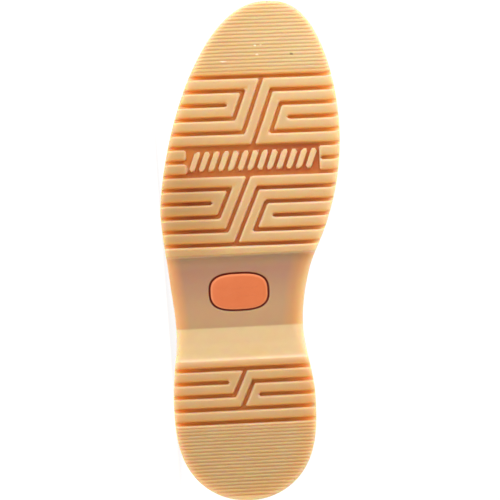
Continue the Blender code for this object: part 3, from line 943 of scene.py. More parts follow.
    def groove_shade_share(self, points: Array) -> Array:
        """Share of painted shade in the panel and the slanting grooves, which the key light reaches
        best: 0 elsewhere.
        """
        slant = np.min([g.reach(points, self.half) for g in self.slants()], axis=0)
        floor = self.in_panel(points) * read(self.panel_shade, points[:, 0])
        return np.maximum(floor, self.slant_shade * (slant < self.slant_margin))

    def groove_depth(self, points: Array) -> Array:
        """Depth of the hollows under the plain tread."""
        depth = read(self.wall, self.reach(points))
        return np.where(self.bar_reach_of(points) < 0, np.maximum(depth, self.bar_top), depth)

    def lips(self, points: Array) -> tuple[Array, Array]:
        """Edges of the tread's bars.

        Args:
            points: places on the tread.

        Returns:
            How strongly each point belongs to an edge that faces the toe or a side, which gets a
            painted highlight, and to an edge that faces the heel, which gets a painted orange shade.
        """
        reach, step = self.reach(points), 0.05
        slopes = []
        for move in ((step, 0.0, 0.0), (0.0, step, 0.0)):
            slopes.append((self.reach(points + move) - self.reach(points - move)) / (2 * step))
        in_wall, beyond = read(self.lip_wall, reach), np.maximum(reach, 0)
        wear_and_highlight = np.clip(np.maximum(-slopes[1], 0) + self.side_highlight * abs(slopes[0]), 0, 1)
        deep = np.clip(slopes[1], 0, 1)
        wear_and_highlight, deep = wear_and_highlight * np.exp(-beyond / self.highlight_run), deep * np.exp(-beyond / self.shade_run)
        return in_wall * wear_and_highlight, in_wall * deep

    def rib_lines(self) -> list[float]:
        """Stations of the valleys between fine ribs, at heel and toe."""
        found = []
        for first, pitch, count in (self.heel_ribs, self.toe_ribs):
            found += [first + pitch * i for i in range(count)]
        return found

    def rib_depth(self, points: Array) -> Array:
        """Depth of the valleys between fine ribs."""
        gap = abs(points[:, 1][:, None] - np.array(self.rib_lines())[None, :]).min(axis=1)
        return read(self.rib_wall, gap)


@dataclass(frozen=True)
class Oval:
    """Soft area or small mark of the tread, in plan."""

    x: float
    y: float
    half_x: float
    half_y: float
    strength: float = 1.0

    def reach(self, points: Array) -> Array:
        """Distance of points from the middle, 1 at the oval's edge."""
        return np.hypot((points[:, 0] - self.x) / self.half_x, (points[:, 1] - self.y) / self.half_y)

    def share(self, points: Array) -> Array:
        """Strength of a soft area at points, most in its middle."""
        return self.strength * np.exp(-(self.reach(points) ** 2))


@dataclass(frozen=True)
class SoleTones:
    """Where light, shade and highlights are painted on the outsole, as shares over its points."""

    plan: SolePlan
    tread: Tread
    # Painted shade of the tread: stations and shares at the heel, and the dark area of the forefoot,
    # which ends at the toe.
    heel_soil: tuple[Row, ...] = ((45, 0.25), (52, 0.4), (84.5, 0.4), (87.5, 0.0))
    forefoot_soil: Oval = Oval(31, 182, 28, 42, 1.1)
    least_soil: float = 0.2
    soil_fade: float = 9.0
    soil_start: float = -0.5
    # Red of the grooves, a painted shade: from the tread's painted shade, and at least this much behind
    # and ahead of the panel.
    soil_red: float = 0.75
    hind_red: float = 0.45
    fore_red: float = 0.15
    heel_red: float = 0.2
    red_line: float = 6.5
    # Painted highlight on the bars' edges: what the tread's painted shade hides of it, what is left at
    # the heel, the panel's bars, and the front of the heel with its offset and half width.
    soil_cover: float = 0.45
    heel_highlight: float = 0.75
    bar_highlight: float = 0.4
    front_highlight: float = 0.8
    front_line: Row = (0.3, 0.9)
    # Painted light through the side: how far in from the outline it reaches, what the walls keep of the
    # glow, and what the tread's painted shade and the outer arch take of it.
    glow_reach: float = 8.0
    wall_glow: float = 0.45
    soil_dims: float = 0.4
    arch_dims: float = 0.5
    glow_curve: float = 1.5
    end_curve: float = 1.2
    orange_reach: float = 17.0
    orange_curve: float = 0.7
    orange_rows: dict[Side, tuple[Row, ...]] = field(
        default_factory=lambda: {
            Side.OUTER: ((90, 1.0), (160, 0.75), (215, 0.75), (235, 1.0)),
            Side.INNER: ((90, 0.75), (160, 0.2), (217, 0.25), (225, 0.8)),
        }
    )
    # Painted light in the grooves of the whole inner toe, orange, and the stations and the x between
    # which it sets in.
    toe_orange: float = 0.4
    toe_start: Row = (217, 225)
    toe_across: Row = (10, -30)
    # Heights over the underside at which the tread's tones end and are full. The painted highlight of
    # the edge in the same way, by distance from the outline, and what arch and painted shade take of
    # it.
    low_reach: Row = (7.0, 2.0)
    edge_reach: Row = (3.6, 0.6)
    edge_arch: float = 0.85
    edge_soil: float = 0.5
    # Painted light on the flanks of arch and heel: how far in from the outline it reaches on each side,
    # its share at the heel, and its curve.
    flank_reach: dict[Side, float] = field(
        default_factory=lambda: {Side.OUTER: 9.0, Side.INNER: 13.0}
    )
    heel_flank: float = 0.55
    flank_curve: float = 0.8
    # Arch: width of its soft edges, and the shade that deepens towards the step.
    fade: float = 0.6
    breast_fade: float = 1.5
    shade_start: Row = (12, 36)
    step_light: float = 9.0
    step_shade: float = 0.2
    # Painted sheen of the inner toe, and its share over the breast.
    toe_sheen: Oval = Oval(-52, 268, 40, 52, 0.9)
    breast_sheen: float = 0.6

    def soil(self, points: Array) -> Array:
        """Painted shade of the tread: a little all over, most at the outer, hind forefoot."""
        y, first = points[:, 1], self.tread.forefoot_first
        forefoot = np.maximum(self.least_soil, self.forefoot_soil.share(points))
        forefoot = forefoot * ramp(y, first + self.soil_fade, first)
        ahead = y > self.plan.forefoot_start + self.soil_start
        return np.where(ahead, forefoot, read(self.heel_soil, y))

    def red(self, points: Array) -> Array:
        """How red the grooves are painted as shade: most where the forefoot has its painted shade,
        little under the heel.
        """
        y = points[:, 1]
        least = np.where(y < self.tread.line_y(self.red_line), self.hind_red, self.fore_red)
        forefoot = np.maximum(self.soil_red * self.soil(points), least)
        return np.where(y > self.plan.heel_end, forefoot, self.heel_red)

    def lips(self, points: Array) -> tuple[Array, Array]:
        """Edges of the tread's bars.

        Args:
            points: places on the tread.

        Returns:
            Share of the painted highlight, and share of the painted orange shade on edges which face
            the heel.
        """
        y, bars = points[:, 1], self.tread.bar_reach_of(points) < 0
        wear_and_highlight, deep = self.tread.lips(points)
        wear_and_highlight = wear_and_highlight * (1 - self.soil_cover * self.soil(points))
        wear_and_highlight = np.where(y < self.plan.heel_end, self.heel_highlight * wear_and_highlight, wear_and_highlight)
        wear_and_highlight = np.where(bars, np.maximum(wear_and_highlight, self.bar_highlight), wear_and_highlight)
        offset, half = self.front_line
        front = np.exp(-(((y - self.plan.heel_end - offset) / half) ** 2))
        on_tread = self.plan.on_tread(y)
        return on_tread * wear_and_highlight + self.front_highlight * front, on_tread * deep

    def zones(self, points: Array) -> dict[str, Array]:
        """Painted light at the rim and the ends of the grooves, painted shade of the arch, and the
        painted sheen and shade of the tread.

        Args:
            points: places on the outsole.

        Returns:
            Shares, under the names of the attributes that the rubber follows.
        """
        plan, x, y = self.plan, points[:, 0], points[:, 1]
        begin, end, front, fade = plan.arch_start, plan.step_start, plan.heel_end, self.fade
        gap, soil = plan.edge_gap(points), self.soil(points)
        stations = np.linspace(0.0, plan.length, 400)
        under = np.interp(y, stations, [plan.underside(station) for station in stations])
        low = ramp(points[:, 2] - under, *self.low_reach)
        # Share of the recessed arch, which is given a painted shade.
        arch = ramp(y, begin - fade / 2, begin + fade / 2) * ramp(y, end + fade, end)
        breast = ramp(y, front, front + self.breast_fade) * ramp(y, begin, begin - fade)
        rim = ramp(gap, self.glow_reach, 0.0) * (self.wall_glow + (1 - self.wall_glow) * low)
        rim = rim * (1 - self.soil_dims * soil) * (1 - self.arch_dims * arch * (x > 0))
        near = ramp(gap, self.orange_reach, 0.0) ** self.orange_curve
        near = near * by_side(x, {side: read(rows, y) for side, rows in self.orange_rows.items()})
        toe = self.toe_orange * ramp(y, *self.toe_start) * ramp(x, *self.toe_across)
        near = np.maximum(near, toe)
        flank = ramp(gap, by_side(x, self.flank_reach), 0.0) ** self.flank_curve
        dusk = ramp(y, *(begin + step for step in self.shade_start))
        edge = ramp(gap, *self.edge_reach) * low * (1 - self.edge_arch * arch)
        return {
            "glow": rim**self.glow_curve,
            "end": rim**self.end_curve * (1 + near) / 2,
            "painted_groove_light": near,
            "edge": edge * (1 - self.edge_soil * soil),
            "arch": arch,
            "shade": arch * dusk * np.maximum(ramp(y, end, end - self.step_light), self.step_shade),
            "flank": np.where(y < front - plan.tread_margin[0], self.heel_flank, arch) * flank,
            "pale": self.toe_sheen.share(points) + self.breast_sheen * breast,
            "soil": soil,
        }


@dataclass
class Outsole:
    """Moulded unit sole: heel, arch and forefoot in one, with its tread."""

    boot: BootFrame
    plan: SolePlan
    tread: Tread
    tones: SoleTones
    across: int = 60
    lean: float = 0.3
    # Rounding of the lower edge, at heel and forefoot and under the arch: how far in, and how high.
    foot: Row = (1.9, 6.5)
    rise: Row = (1.3, 6.0)
    rim: float = 0.8
    low_wall: float = 4.8
    wall_gap: float = 0.8
    cut_zone: float = 4.7
    # Sections beside those of the grooves: round the ribs, the tips and the front of the heel, then
    # runs over breast, arch and step with their first and end stations and pitch, then single ones.
    rib_steps: tuple[float, ...] = (-0.75, -0.48, -0.2, 0.2, 0.48, 0.75)
    tip_angles: tuple[int, ...] = tuple(range(0, 36, 4))
    front_steps: tuple[float, ...] = (-0.7, -0.3, 0.1, 0.5, 1.0, 1.7, 2.6)
    runs: tuple[tuple[float, float, float], ...] = (
        (90.5, 106.5, 1.3), (109, 150, 2.0), (150.3, 153.0, 0.3),
    )
    single: tuple[float, ...] = (106.4, 106.8, 107.2, 107.7, 153.5)
    least_pitch: float = 0.09
    # A slanting groove is cut along its middle, this far to its sides and past its ends.
    slant_room: Row = (2.6, 2.0)
    # The grooves' floors rise towards the outline: from how far in, and by what share.
    end_reach: dict[Side, float] = field(
        default_factory=lambda: {Side.OUTER: 12.0, Side.INNER: 17.0}
    )
    end_rise: float = 0.65
    rise_curve: float = 1.5
    # The grooves' painted shade fades at the outline: distances where it is gone and full, and the
    # least.
    colour_reach: Row = (0.3, 3.5)
    least_colour: float = 0.1
    rib_fade: float = 0.6
    line_tilt: float = 0.0125
    tilt_pivot: float = -8.0
    tilt_fade: float = 4.0
    # White scuffs and one dark speck that the toe carries.
    scuffs: tuple[Oval, ...] = (
        Oval(-17.5, 274.4, 0.55, 0.5), Oval(-16.5, 280.1, 0.4, 0.35), Oval(-20.2, 280.4, 0.4, 0.25),
        Oval(3.7, 271.0, 1.5, 0.25), Oval(14.6, 268.1, 0.7, 0.2),
    )
    specks: tuple[Oval, ...] = (Oval(-38.7, 273.7, 0.8, 0.4),)
    mark_tone: float = 0.7
    mark_room: float = 4.0
    mark_snap: float = 0.02

    def spots(self) -> list[tuple[Zone, Side, float]]:
        """Places round a section: along the bottom, up the inner side, over and down the outer."""
        found = [(Zone.BOTTOM, Side.OUTER, i / self.across) for i in range(self.across)]
        climb = [(Zone.EDGE, i / 4) for i in range(5)]
        climb += [(Zone.WALL, i / 4) for i in range(4)]
        climb += [(Zone.RIM, i / 3) for i in range(4)]
        found += [(zone, Side.INNER, share) for zone, share in climb]
        found += [(Zone.TOP, Side.OUTER, i / 6) for i in range(1, 6)]
        found += [(zone, Side.OUTER, share) for zone, share in climb[:0:-1]]
        return found

    def stations(self) -> list[float]:
        """Stations of the sections: close at the tips, the ribs, the grooves and the arch."""
        plan, tread, foot = self.plan, self.tread, self.foot[0]
        ys = [line + step for line in tread.rib_lines() for step in self.rib_steps]
        ys += [tread.line_y(k / 4) for k in range(0, 50)]
        ys += [tread.heel_first - tread.heel_pitch * k / 4 for k in range(-1, 18)]
        found = [plan.station_of(y, foot) for y in ys if foot < y < plan.length - foot]
        depths = [1 - math.cos(math.radians(angle)) for angle in self.tip_angles]
        found += [plan.heel_reach * depth for depth in depths]
        found += [plan.length - plan.toe_reach * depth for depth in depths]
        found += [plan.heel_end + step for step in self.front_steps]
        found += [station for run in self.runs for station in np.arange(*run)]
        kept: list[float] = []
        for station in sorted([*found, *self.single]):
            if not kept or station - kept[-1] > self.least_pitch:
                kept.append(station)
        kept[-1] = plan.length
        return kept

    def ring_point(self, station: float, zone: Zone, side: Side, share: float) -> Vector:
        """Point of the bare sole.

        Args:
            station: place along the sole.
            zone: stretch of the section.
            side: side of the foot, for the stretches that have one.
            share: place along the stretch, from 0 to 1.

        Returns:
            The point, in the boot's millimetres.
        """
        plan = self.plan
        arch = plan.arch_share(station)
        foot = self.foot[0] + arch * (self.foot[1] - self.foot[0])
        rise = self.rise[0] + arch * (self.rise[1] - self.rise[0])
        if zone in (Zone.BOTTOM, Zone.TOP):
            inset = foot if zone is Zone.BOTTOM else self.rim
            y = plan.drawn_in(station, inset)
            outer, inner = (plan.edge_x(s, y, inset) for s in Side)
            if zone is Zone.BOTTOM:
                return Vector((outer + (inner - outer) * share, y, plan.tread(y)))
            return Vector((inner + (outer - inner) * share, y, plan.seat(y)))
        angle = share * math.pi / 2
        if zone is Zone.EDGE:
            inset = self.lean + (foot - self.lean) * (1 - math.sin(angle))
            y = plan.drawn_in(station, inset)
            z = plan.tread(y) + rise * (1 - math.cos(angle))
        elif zone is Zone.WALL:
            inset = self.lean * (1 - share)
            y = plan.drawn_in(station, inset)
            low = plan.tread(y) + max(self.low_wall, rise + self.wall_gap)
            z = low + (plan.seat(y) - self.rim - low) * share
        else:
            inset = self.rim * (1 - math.cos(angle))
            y = plan.drawn_in(station, inset)
            z = plan.seat(y) - self.rim * (1 - math.sin(angle))
        return Vector((plan.edge_x(side, y, inset), y, z))

    def blank(self) -> BMesh:
        """Closed blank of the sole: a grid of stations and places, wrapped round its sections."""
        stations, spots = self.stations(), self.spots()
        rows, columns = len(stations) - 1, len(spots)
        mesh = bmesh.new()
        bmesh.ops.create_grid(mesh, x_segments=columns, y_segments=rows, size=1.0)
        for vert in mesh.verts:
            column = round((vert.co.x + 1) / 2 * columns) % columns
            vert.co = self.ring_point(stations[round((vert.co.y + 1) / 2 * rows)], *spots[column])
        bmesh.ops.remove_doubles(mesh, verts=mesh.verts, dist=0.01)
        bmesh.ops.recalc_face_normals(mesh, faces=mesh.faces)
        return mesh

    def is_low(self, points: Array) -> Array:
        """Whether points belong to the tread and its edge."""
        return points[:, 2] - self.plan.spring(points[:, 1]) < self.cut_zone

    def low_part(self, points: Array) -> Array:
        """0 for points of the tread and its edge, and -1 for all others."""
        return np.where(self.is_low(points), 0, -1)

    def cut_lines(self, mesh: BMesh) -> None:
        """Cut the middles of slanting grooves and bars, then the walls of every hollow.

        Args:
            mesh: the blank, cut in place.
        """
        tread, slants, bars = self.tread, self.tread.slants(), self.tread.bar_places()
        beside, past = self.slant_room

        def nearest(points: Array) -> tuple[Array, Array]:
            """Number of the slanting groove each point is near, and its distance across it."""
            found, offset = np.full(len(points), -1), np.zeros(len(points))
            for number, groove in enumerate(slants):
                along, across = groove.frame_of(points)
                length = (groove.end - groove.start).length
                close = (abs(across) < beside) & (along > -past) & (along < length + past)
                close &= self.is_low(points)
                found, offset = np.where(close, number, found), np.where(close, across, offset)
            return found, offset

        cut_along(mesh, lambda p: nearest(p)[1], 0.0, lambda p: nearest(p)[0])
        for places in (bars, (bars[1:] + bars[:-1]) / 2):

            def away(points: Array, places: Array = places) -> Array:
                """Distances of points across each of these lines of the panel."""
                return tread.upright(points)[:, None] - places[None, :]

            def offset(points: Array, away: Field = away) -> Array:
                """Distance of points across the nearest of these lines."""
                found = away(points)
                return np.take_along_axis(found, abs(found).argmin(axis=1)[:, None], 1)[:, 0]

            def inside(points: Array, away: Field = away) -> Array:
                """Number of the nearest line for points of the panel, and -1 outside it."""
                here = tread.in_panel(points) & self.is_low(points)
                return np.where(here, abs(away(points)).argmin(axis=1), -1)

            cut_along(mesh, offset, 0.0, inside)
        for distance, _ in reversed(tread.wall):
            cut_along(mesh, tread.reach, distance, self.low_part)

    def press_tread(self, mesh: BMesh) -> None:
        """Press grooves, panel and ribs into the tread, and note on its vertices the painted shade of
        its hollows and edges and the painted highlights of the bars' edges.

        Args:
            mesh: the blank with its lines cut, changed in place.
        """
        tread, points = self.tread, places_of(mesh)
        x, y, low = points[:, 0], points[:, 1], self.is_low(points)
        on_tread, floor, gap = self.plan.on_tread(y), self.plan.spring(y), self.plan.edge_gap(points)
        height, hollows = points[:, 2] - floor, tread.groove_depth(points)
        ends = ramp(gap, by_side(x, self.end_reach), 0.0)
        grooves = hollows * (1 - self.end_rise * ends**self.rise_curve)
        ribs = tread.rib_depth(points) * np.clip(1 - self.rib_fade * height / self.rise[0], 0, 1)
        depth = np.where(on_tread, np.maximum(height + ribs, grooves), height)
        wear_and_highlight, deep = self.tones.lips(points)
        # Painted shade of the grooves, by their depth.
        colour = hollows / tread.depth * np.maximum(ramp(gap, *self.colour_reach), self.least_colour)
        self.write(mesh, {
            "groove": low * on_tread * colour,
            "rib": low * on_tread * ribs / tread.rib_wall[0][1],
            "wear_and_highlight": low * wear_and_highlight,
            "deep": low * deep,
            "open": np.maximum(tread.groove_shade_share(points), self.tones.red(points)),
        })
        for vert, is_low, z in zip(mesh.verts, low, floor + depth):
            if is_low:
                vert.co.z = z

    def tilt_lines(self, mesh: BMesh) -> None:
        """Turn the lines of forefoot and toe a little, while the outline stays where it is."""
        points, start = places_of(mesh), self.plan.forefoot_start
        share = self.is_low(points) * ramp(points[:, 1], start, start + self.tilt_fade)
        share = share * ramp(self.plan.edge_gap(points), 0.0, self.tilt_fade)
        for vert, move in zip(mesh.verts, share * self.line_tilt * (points[:, 0] - self.tilt_pivot)):
            vert.co.y += move

    def write(self, mesh: BMesh, values: dict[str, Array]) -> None:
        """Store values on the vertices, each under its own name."""
        for name, numbers in values.items():
            layer = mesh.verts.layers.float.get(name) or mesh.verts.layers.float.new(name)
            for vert, number in zip(mesh.verts, numbers):
                vert[layer] = float(number)

    def mark_toe(self, mesh: BMesh) -> None:
        """Scuffs and specks of the toe, cut in as small ovals so that they have crisp edges.

        Args:
            mesh: the outsole, cut in place.
        """
        for name, marks in (("scuff", self.scuffs), ("speck", self.specks)):
            for mark in marks:

                def close(points: Array, mark: Oval = mark) -> Array:
                    """0 for points of the tread round a mark, and -1 for all others."""
                    here = np.hypot(points[:, 0] - mark.x, points[:, 1] - mark.y) < self.mark_room
                    return np.where(here & self.is_low(points), 0, -1)

                cut_along(mesh, lambda p, x=mark.x: p[:, 0] - x, 0.0, close, self.mark_snap)
                cut_along(mesh, mark.reach, 1.0, close, self.mark_snap)
            points = places_of(mesh)
            reach = np.min([mark.reach(points) for mark in marks], axis=0)
            inside = self.is_low(points) & (reach < 1 + self.mark_snap)
            self.write(mesh, {name: self.mark_tone * inside})

    def build(self, plug: "ArchPlug", finish: Material) -> Object:
        """Make the outsole.

        Args:
            plug: the arch plug, which has its pocket here.
            finish: gum rubber.

        Returns:
            The piece that stands for the CAD's outsole.
        """
        mesh = self.blank()
        self.cut_lines(mesh)
        self.press_tread(mesh)
        self.tilt_lines(mesh)
        self.mark_toe(mesh)
        pocket = plug.sink_pocket(mesh)
        self.write(mesh, {"pocket": pocket, **self.tones.zones(places_of(mesh))})
        piece = self.boot.add_piece("gum_outsole", mesh, [finish], "gum_rubber", "outsole")
        piece.modifiers.new("even_shading", "WEIGHTED_NORMAL").weight = 60
        return piece


@dataclass
class ArchPlug:
    """Oval rubber plug let into the slope of the arch."""

    boot: BootFrame
    plan: SolePlan
    x: float = 0.6
    station: float = 128.8
    half_long: float = 18.4
    half_wide: float = 12.1
    power: float = 2.9
    points: int = 96
    base: float = 0.8
    shoulder: float = 0.15
    seam: float = 0.4
    gap: float = 0.8
    # The arch round the plug that the pocket may change: distance beside the plug, and height.
    room: Row = (3.0, 1.5)
    # Edge of the pocket: distance outside the seam, and depth below the arch.
    lip: tuple[Row, ...] = ((-0.3, 0.9), (-0.05, 0.6), (0.12, 0.3), (0.4, 0.08), (0.8, 0.0))
    # Depths in the pocket at which its painted shade begins and is full.
    pocket_shade: Row = (0.1125, 0.675)
    # Steps of the crown: distance in, and rise. Its edge gets a painted highlight up to a step of this
    # distance.
    crown: tuple[Row, ...] = ((0.3, 0.22), (0.4, 0.16), (0.8, 0.14), (2.0, 0.1), (4.0, 0.06))
    edge_step: float = 0.8
    edge_tone: float = 0.8

    def matrix(self) -> Matrix:
        """Frame of the plug: z points out of the arch, square to its slope."""
        plan = self.plan
        slope = (plan.step_height - plan.arch_height) / (plan.step_start - plan.arch_start)
        along = Vector((0, 1, slope)).normalized()
        across = Vector((-1, 0, 0))
        turn = turn_to(across, along, across.cross(along))
        place = Vector((self.x, self.station, plan.underside(self.station)))
        return Matrix.Translation(place) @ turn

    def local(self, points: Array) -> Array:
        """Points in the plug's own frame."""
        return np.c_[points, np.ones(len(points))] @ np.array(self.matrix().inverted()).T

    def size(self, x: Array | float, y: Array | float) -> Array | float:
        """How far out a point lies on the plug's own kind of oval, 1 for half axes of 1."""
        return (abs(x) ** self.power + abs(y) ** self.power) ** (1 / self.power)

    def reach(self, points: Array) -> Array:
        """Distance of points outside the plug's outline, below 0 inside it."""
        x, y = self.local(points)[:, :2].T
        share = self.size(x / self.half_long, y / self.half_wide)
        return np.hypot(x, y) * (1 - 1 / np.maximum(share, 1e-6))

    def near(self, points: Array) -> Array:
        """0 for points of the arch's underside round the plug, and -1 for all others."""
        x, y, z = abs(self.local(points)[:, :3]).T
        beside, high = self.room
        close = (x < self.half_long + beside) & (y < self.half_wide + beside) & (z < high)
        return np.where(close, 0, -1)

    def sink_pocket(self, mesh: BMesh) -> Array:
        """Press the plug's pocket into the outsole.

        Args:
            mesh: the outsole, changed in place.

        Returns:
            For each of its vertices, its share of the pocket's painted shade, by how deep in the pocket
            it is, from 0 to 1.
        """
        for distance, _ in reversed(self.lip):
            cut_along(mesh, self.reach, distance + self.seam, self.near)
        points = places_of(mesh)
        depth = read(self.lip, self.reach(points) - self.seam)
        depth = np.where(self.near(points) == 0, depth, 0.0)
        inward = -(self.matrix().to_3x3() @ Vector((0, 0, 1)))
        for vert, down in zip(mesh.verts, depth):
            if down > 0:
                vert.co += inward * float(down)
        return ramp(depth, *self.pocket_shade)

    def build(self, finish: Material) -> Object:
        """Make the plug.

        Args:
            finish: orange rubber.

        Returns:
            The piece that stands for the CAD's plug.
        """
        long, wide = self.half_long - self.gap, self.half_wide - self.gap
        mesh = bmesh.new()
        bmesh.ops.create_circle(mesh, cap_ends=True, radius=1.0, segments=self.points)
        for vert in mesh.verts:
            c, s = vert.co.x, vert.co.y
            size = self.size(c, s)
            vert.co = (c / size * long, s / size * wide, -self.base)
        bmesh.ops.recalc_face_normals(mesh, faces=mesh.faces)
        for face in mesh.faces:
            if face.normal.z < 0:
                face.normal_flip()
        raised = bmesh.ops.extrude_face_region(mesh, geom=list(mesh.faces))["geom"]
        top = [item for item in raised if isinstance(item, BMVert)]
        bmesh.ops.translate(mesh, verts=top, vec=(0, 0, self.base - self.shoulder))
        edge = mesh.verts.layers.float.new("edge")
        for thickness, depth in self.crown:
            face = max(mesh.faces, key=lambda f: (round(f.calc_center_median().z, 3), f.calc_area()))
            for vert in face.verts:
                vert[edge] = self.edge_tone if thickness <= self.edge_step else 0.0
            bmesh.ops.inset_region(mesh, faces=[face], thickness=thickness, depth=depth)
            for vert in face.verts:
                vert[edge] = 0.0
        bmesh.ops.recalc_face_normals(mesh, faces=mesh.faces)
        bmesh.ops.transform(mesh, matrix=self.matrix(), verts=mesh.verts)
        return self.boot.add_piece("orange_arch_plug", mesh, [finish], "orange_rubber", "arch_plug")


@dataclass(frozen=True)
class Crease:
    """Soft fold of the leather, drawn in side view and carried across the boot."""

    path: tuple[Row, ...]
    width: float
    depth: float
    outer: float = 1.0
    inner: float = 1.0
    # Part of a half wave that the fold's strength follows along its path, and the wave's power.
    fade: Row = (0.12, 0.88)
    fade_curve: float = 1.2
    # Ridges beside the trough: distance in widths, sharpness, and height over the trough's depth.
    ridge_place: float = 1.75
    ridge_sharp: float = 1.6
    ridge_height: float = 0.42

    def shape(self, points: Array) -> tuple[Array, Array]:
        """Trough and ridges of the fold.

        Args:
            points: places on the upper.

        Returns:
            How far each point moves out of the leather, and how bent the leather is there.
        """
        flat = points[:, 1:3]
        best, place = np.full(len(points), 1e9), np.zeros(len(points))
        spans = len(self.path) - 1
        for i, (a, b) in enumerate(zip(self.path, self.path[1:])):
            a, b = np.array(a, float), np.array(b, float)
            share = np.clip((flat - a) @ (b - a) / ((b - a) @ (b - a)), 0, 1)
            away = np.hypot(*(flat - a - share[:, None] * (b - a)).T)
            place = np.where(away < best, (i + share) / spans, place)
            best = np.minimum(best, away)
        first, last = self.fade
        fade = np.sin(np.pi * np.clip(first + (last - first) * place, 0, 1)) ** self.fade_curve
        fade = fade * by_side(points[:, 0], {Side.OUTER: self.outer, Side.INNER: self.inner})
        ratio = best / self.width
        ridge = np.exp(-((ratio - self.ridge_place) ** 2) * self.ridge_sharp)
        move = self.depth * fade * (self.ridge_height * ridge - np.exp(-(ratio**2)))
        return move, np.clip(fade * ridge, 0, 1)


@dataclass(frozen=True)
class Panel:
    """Leather piece sewn on the upper: where it lies, and its rows of stitches."""

    name: str
    reach: Field
    rows: tuple[float, ...]
    thickness: float = 1.0


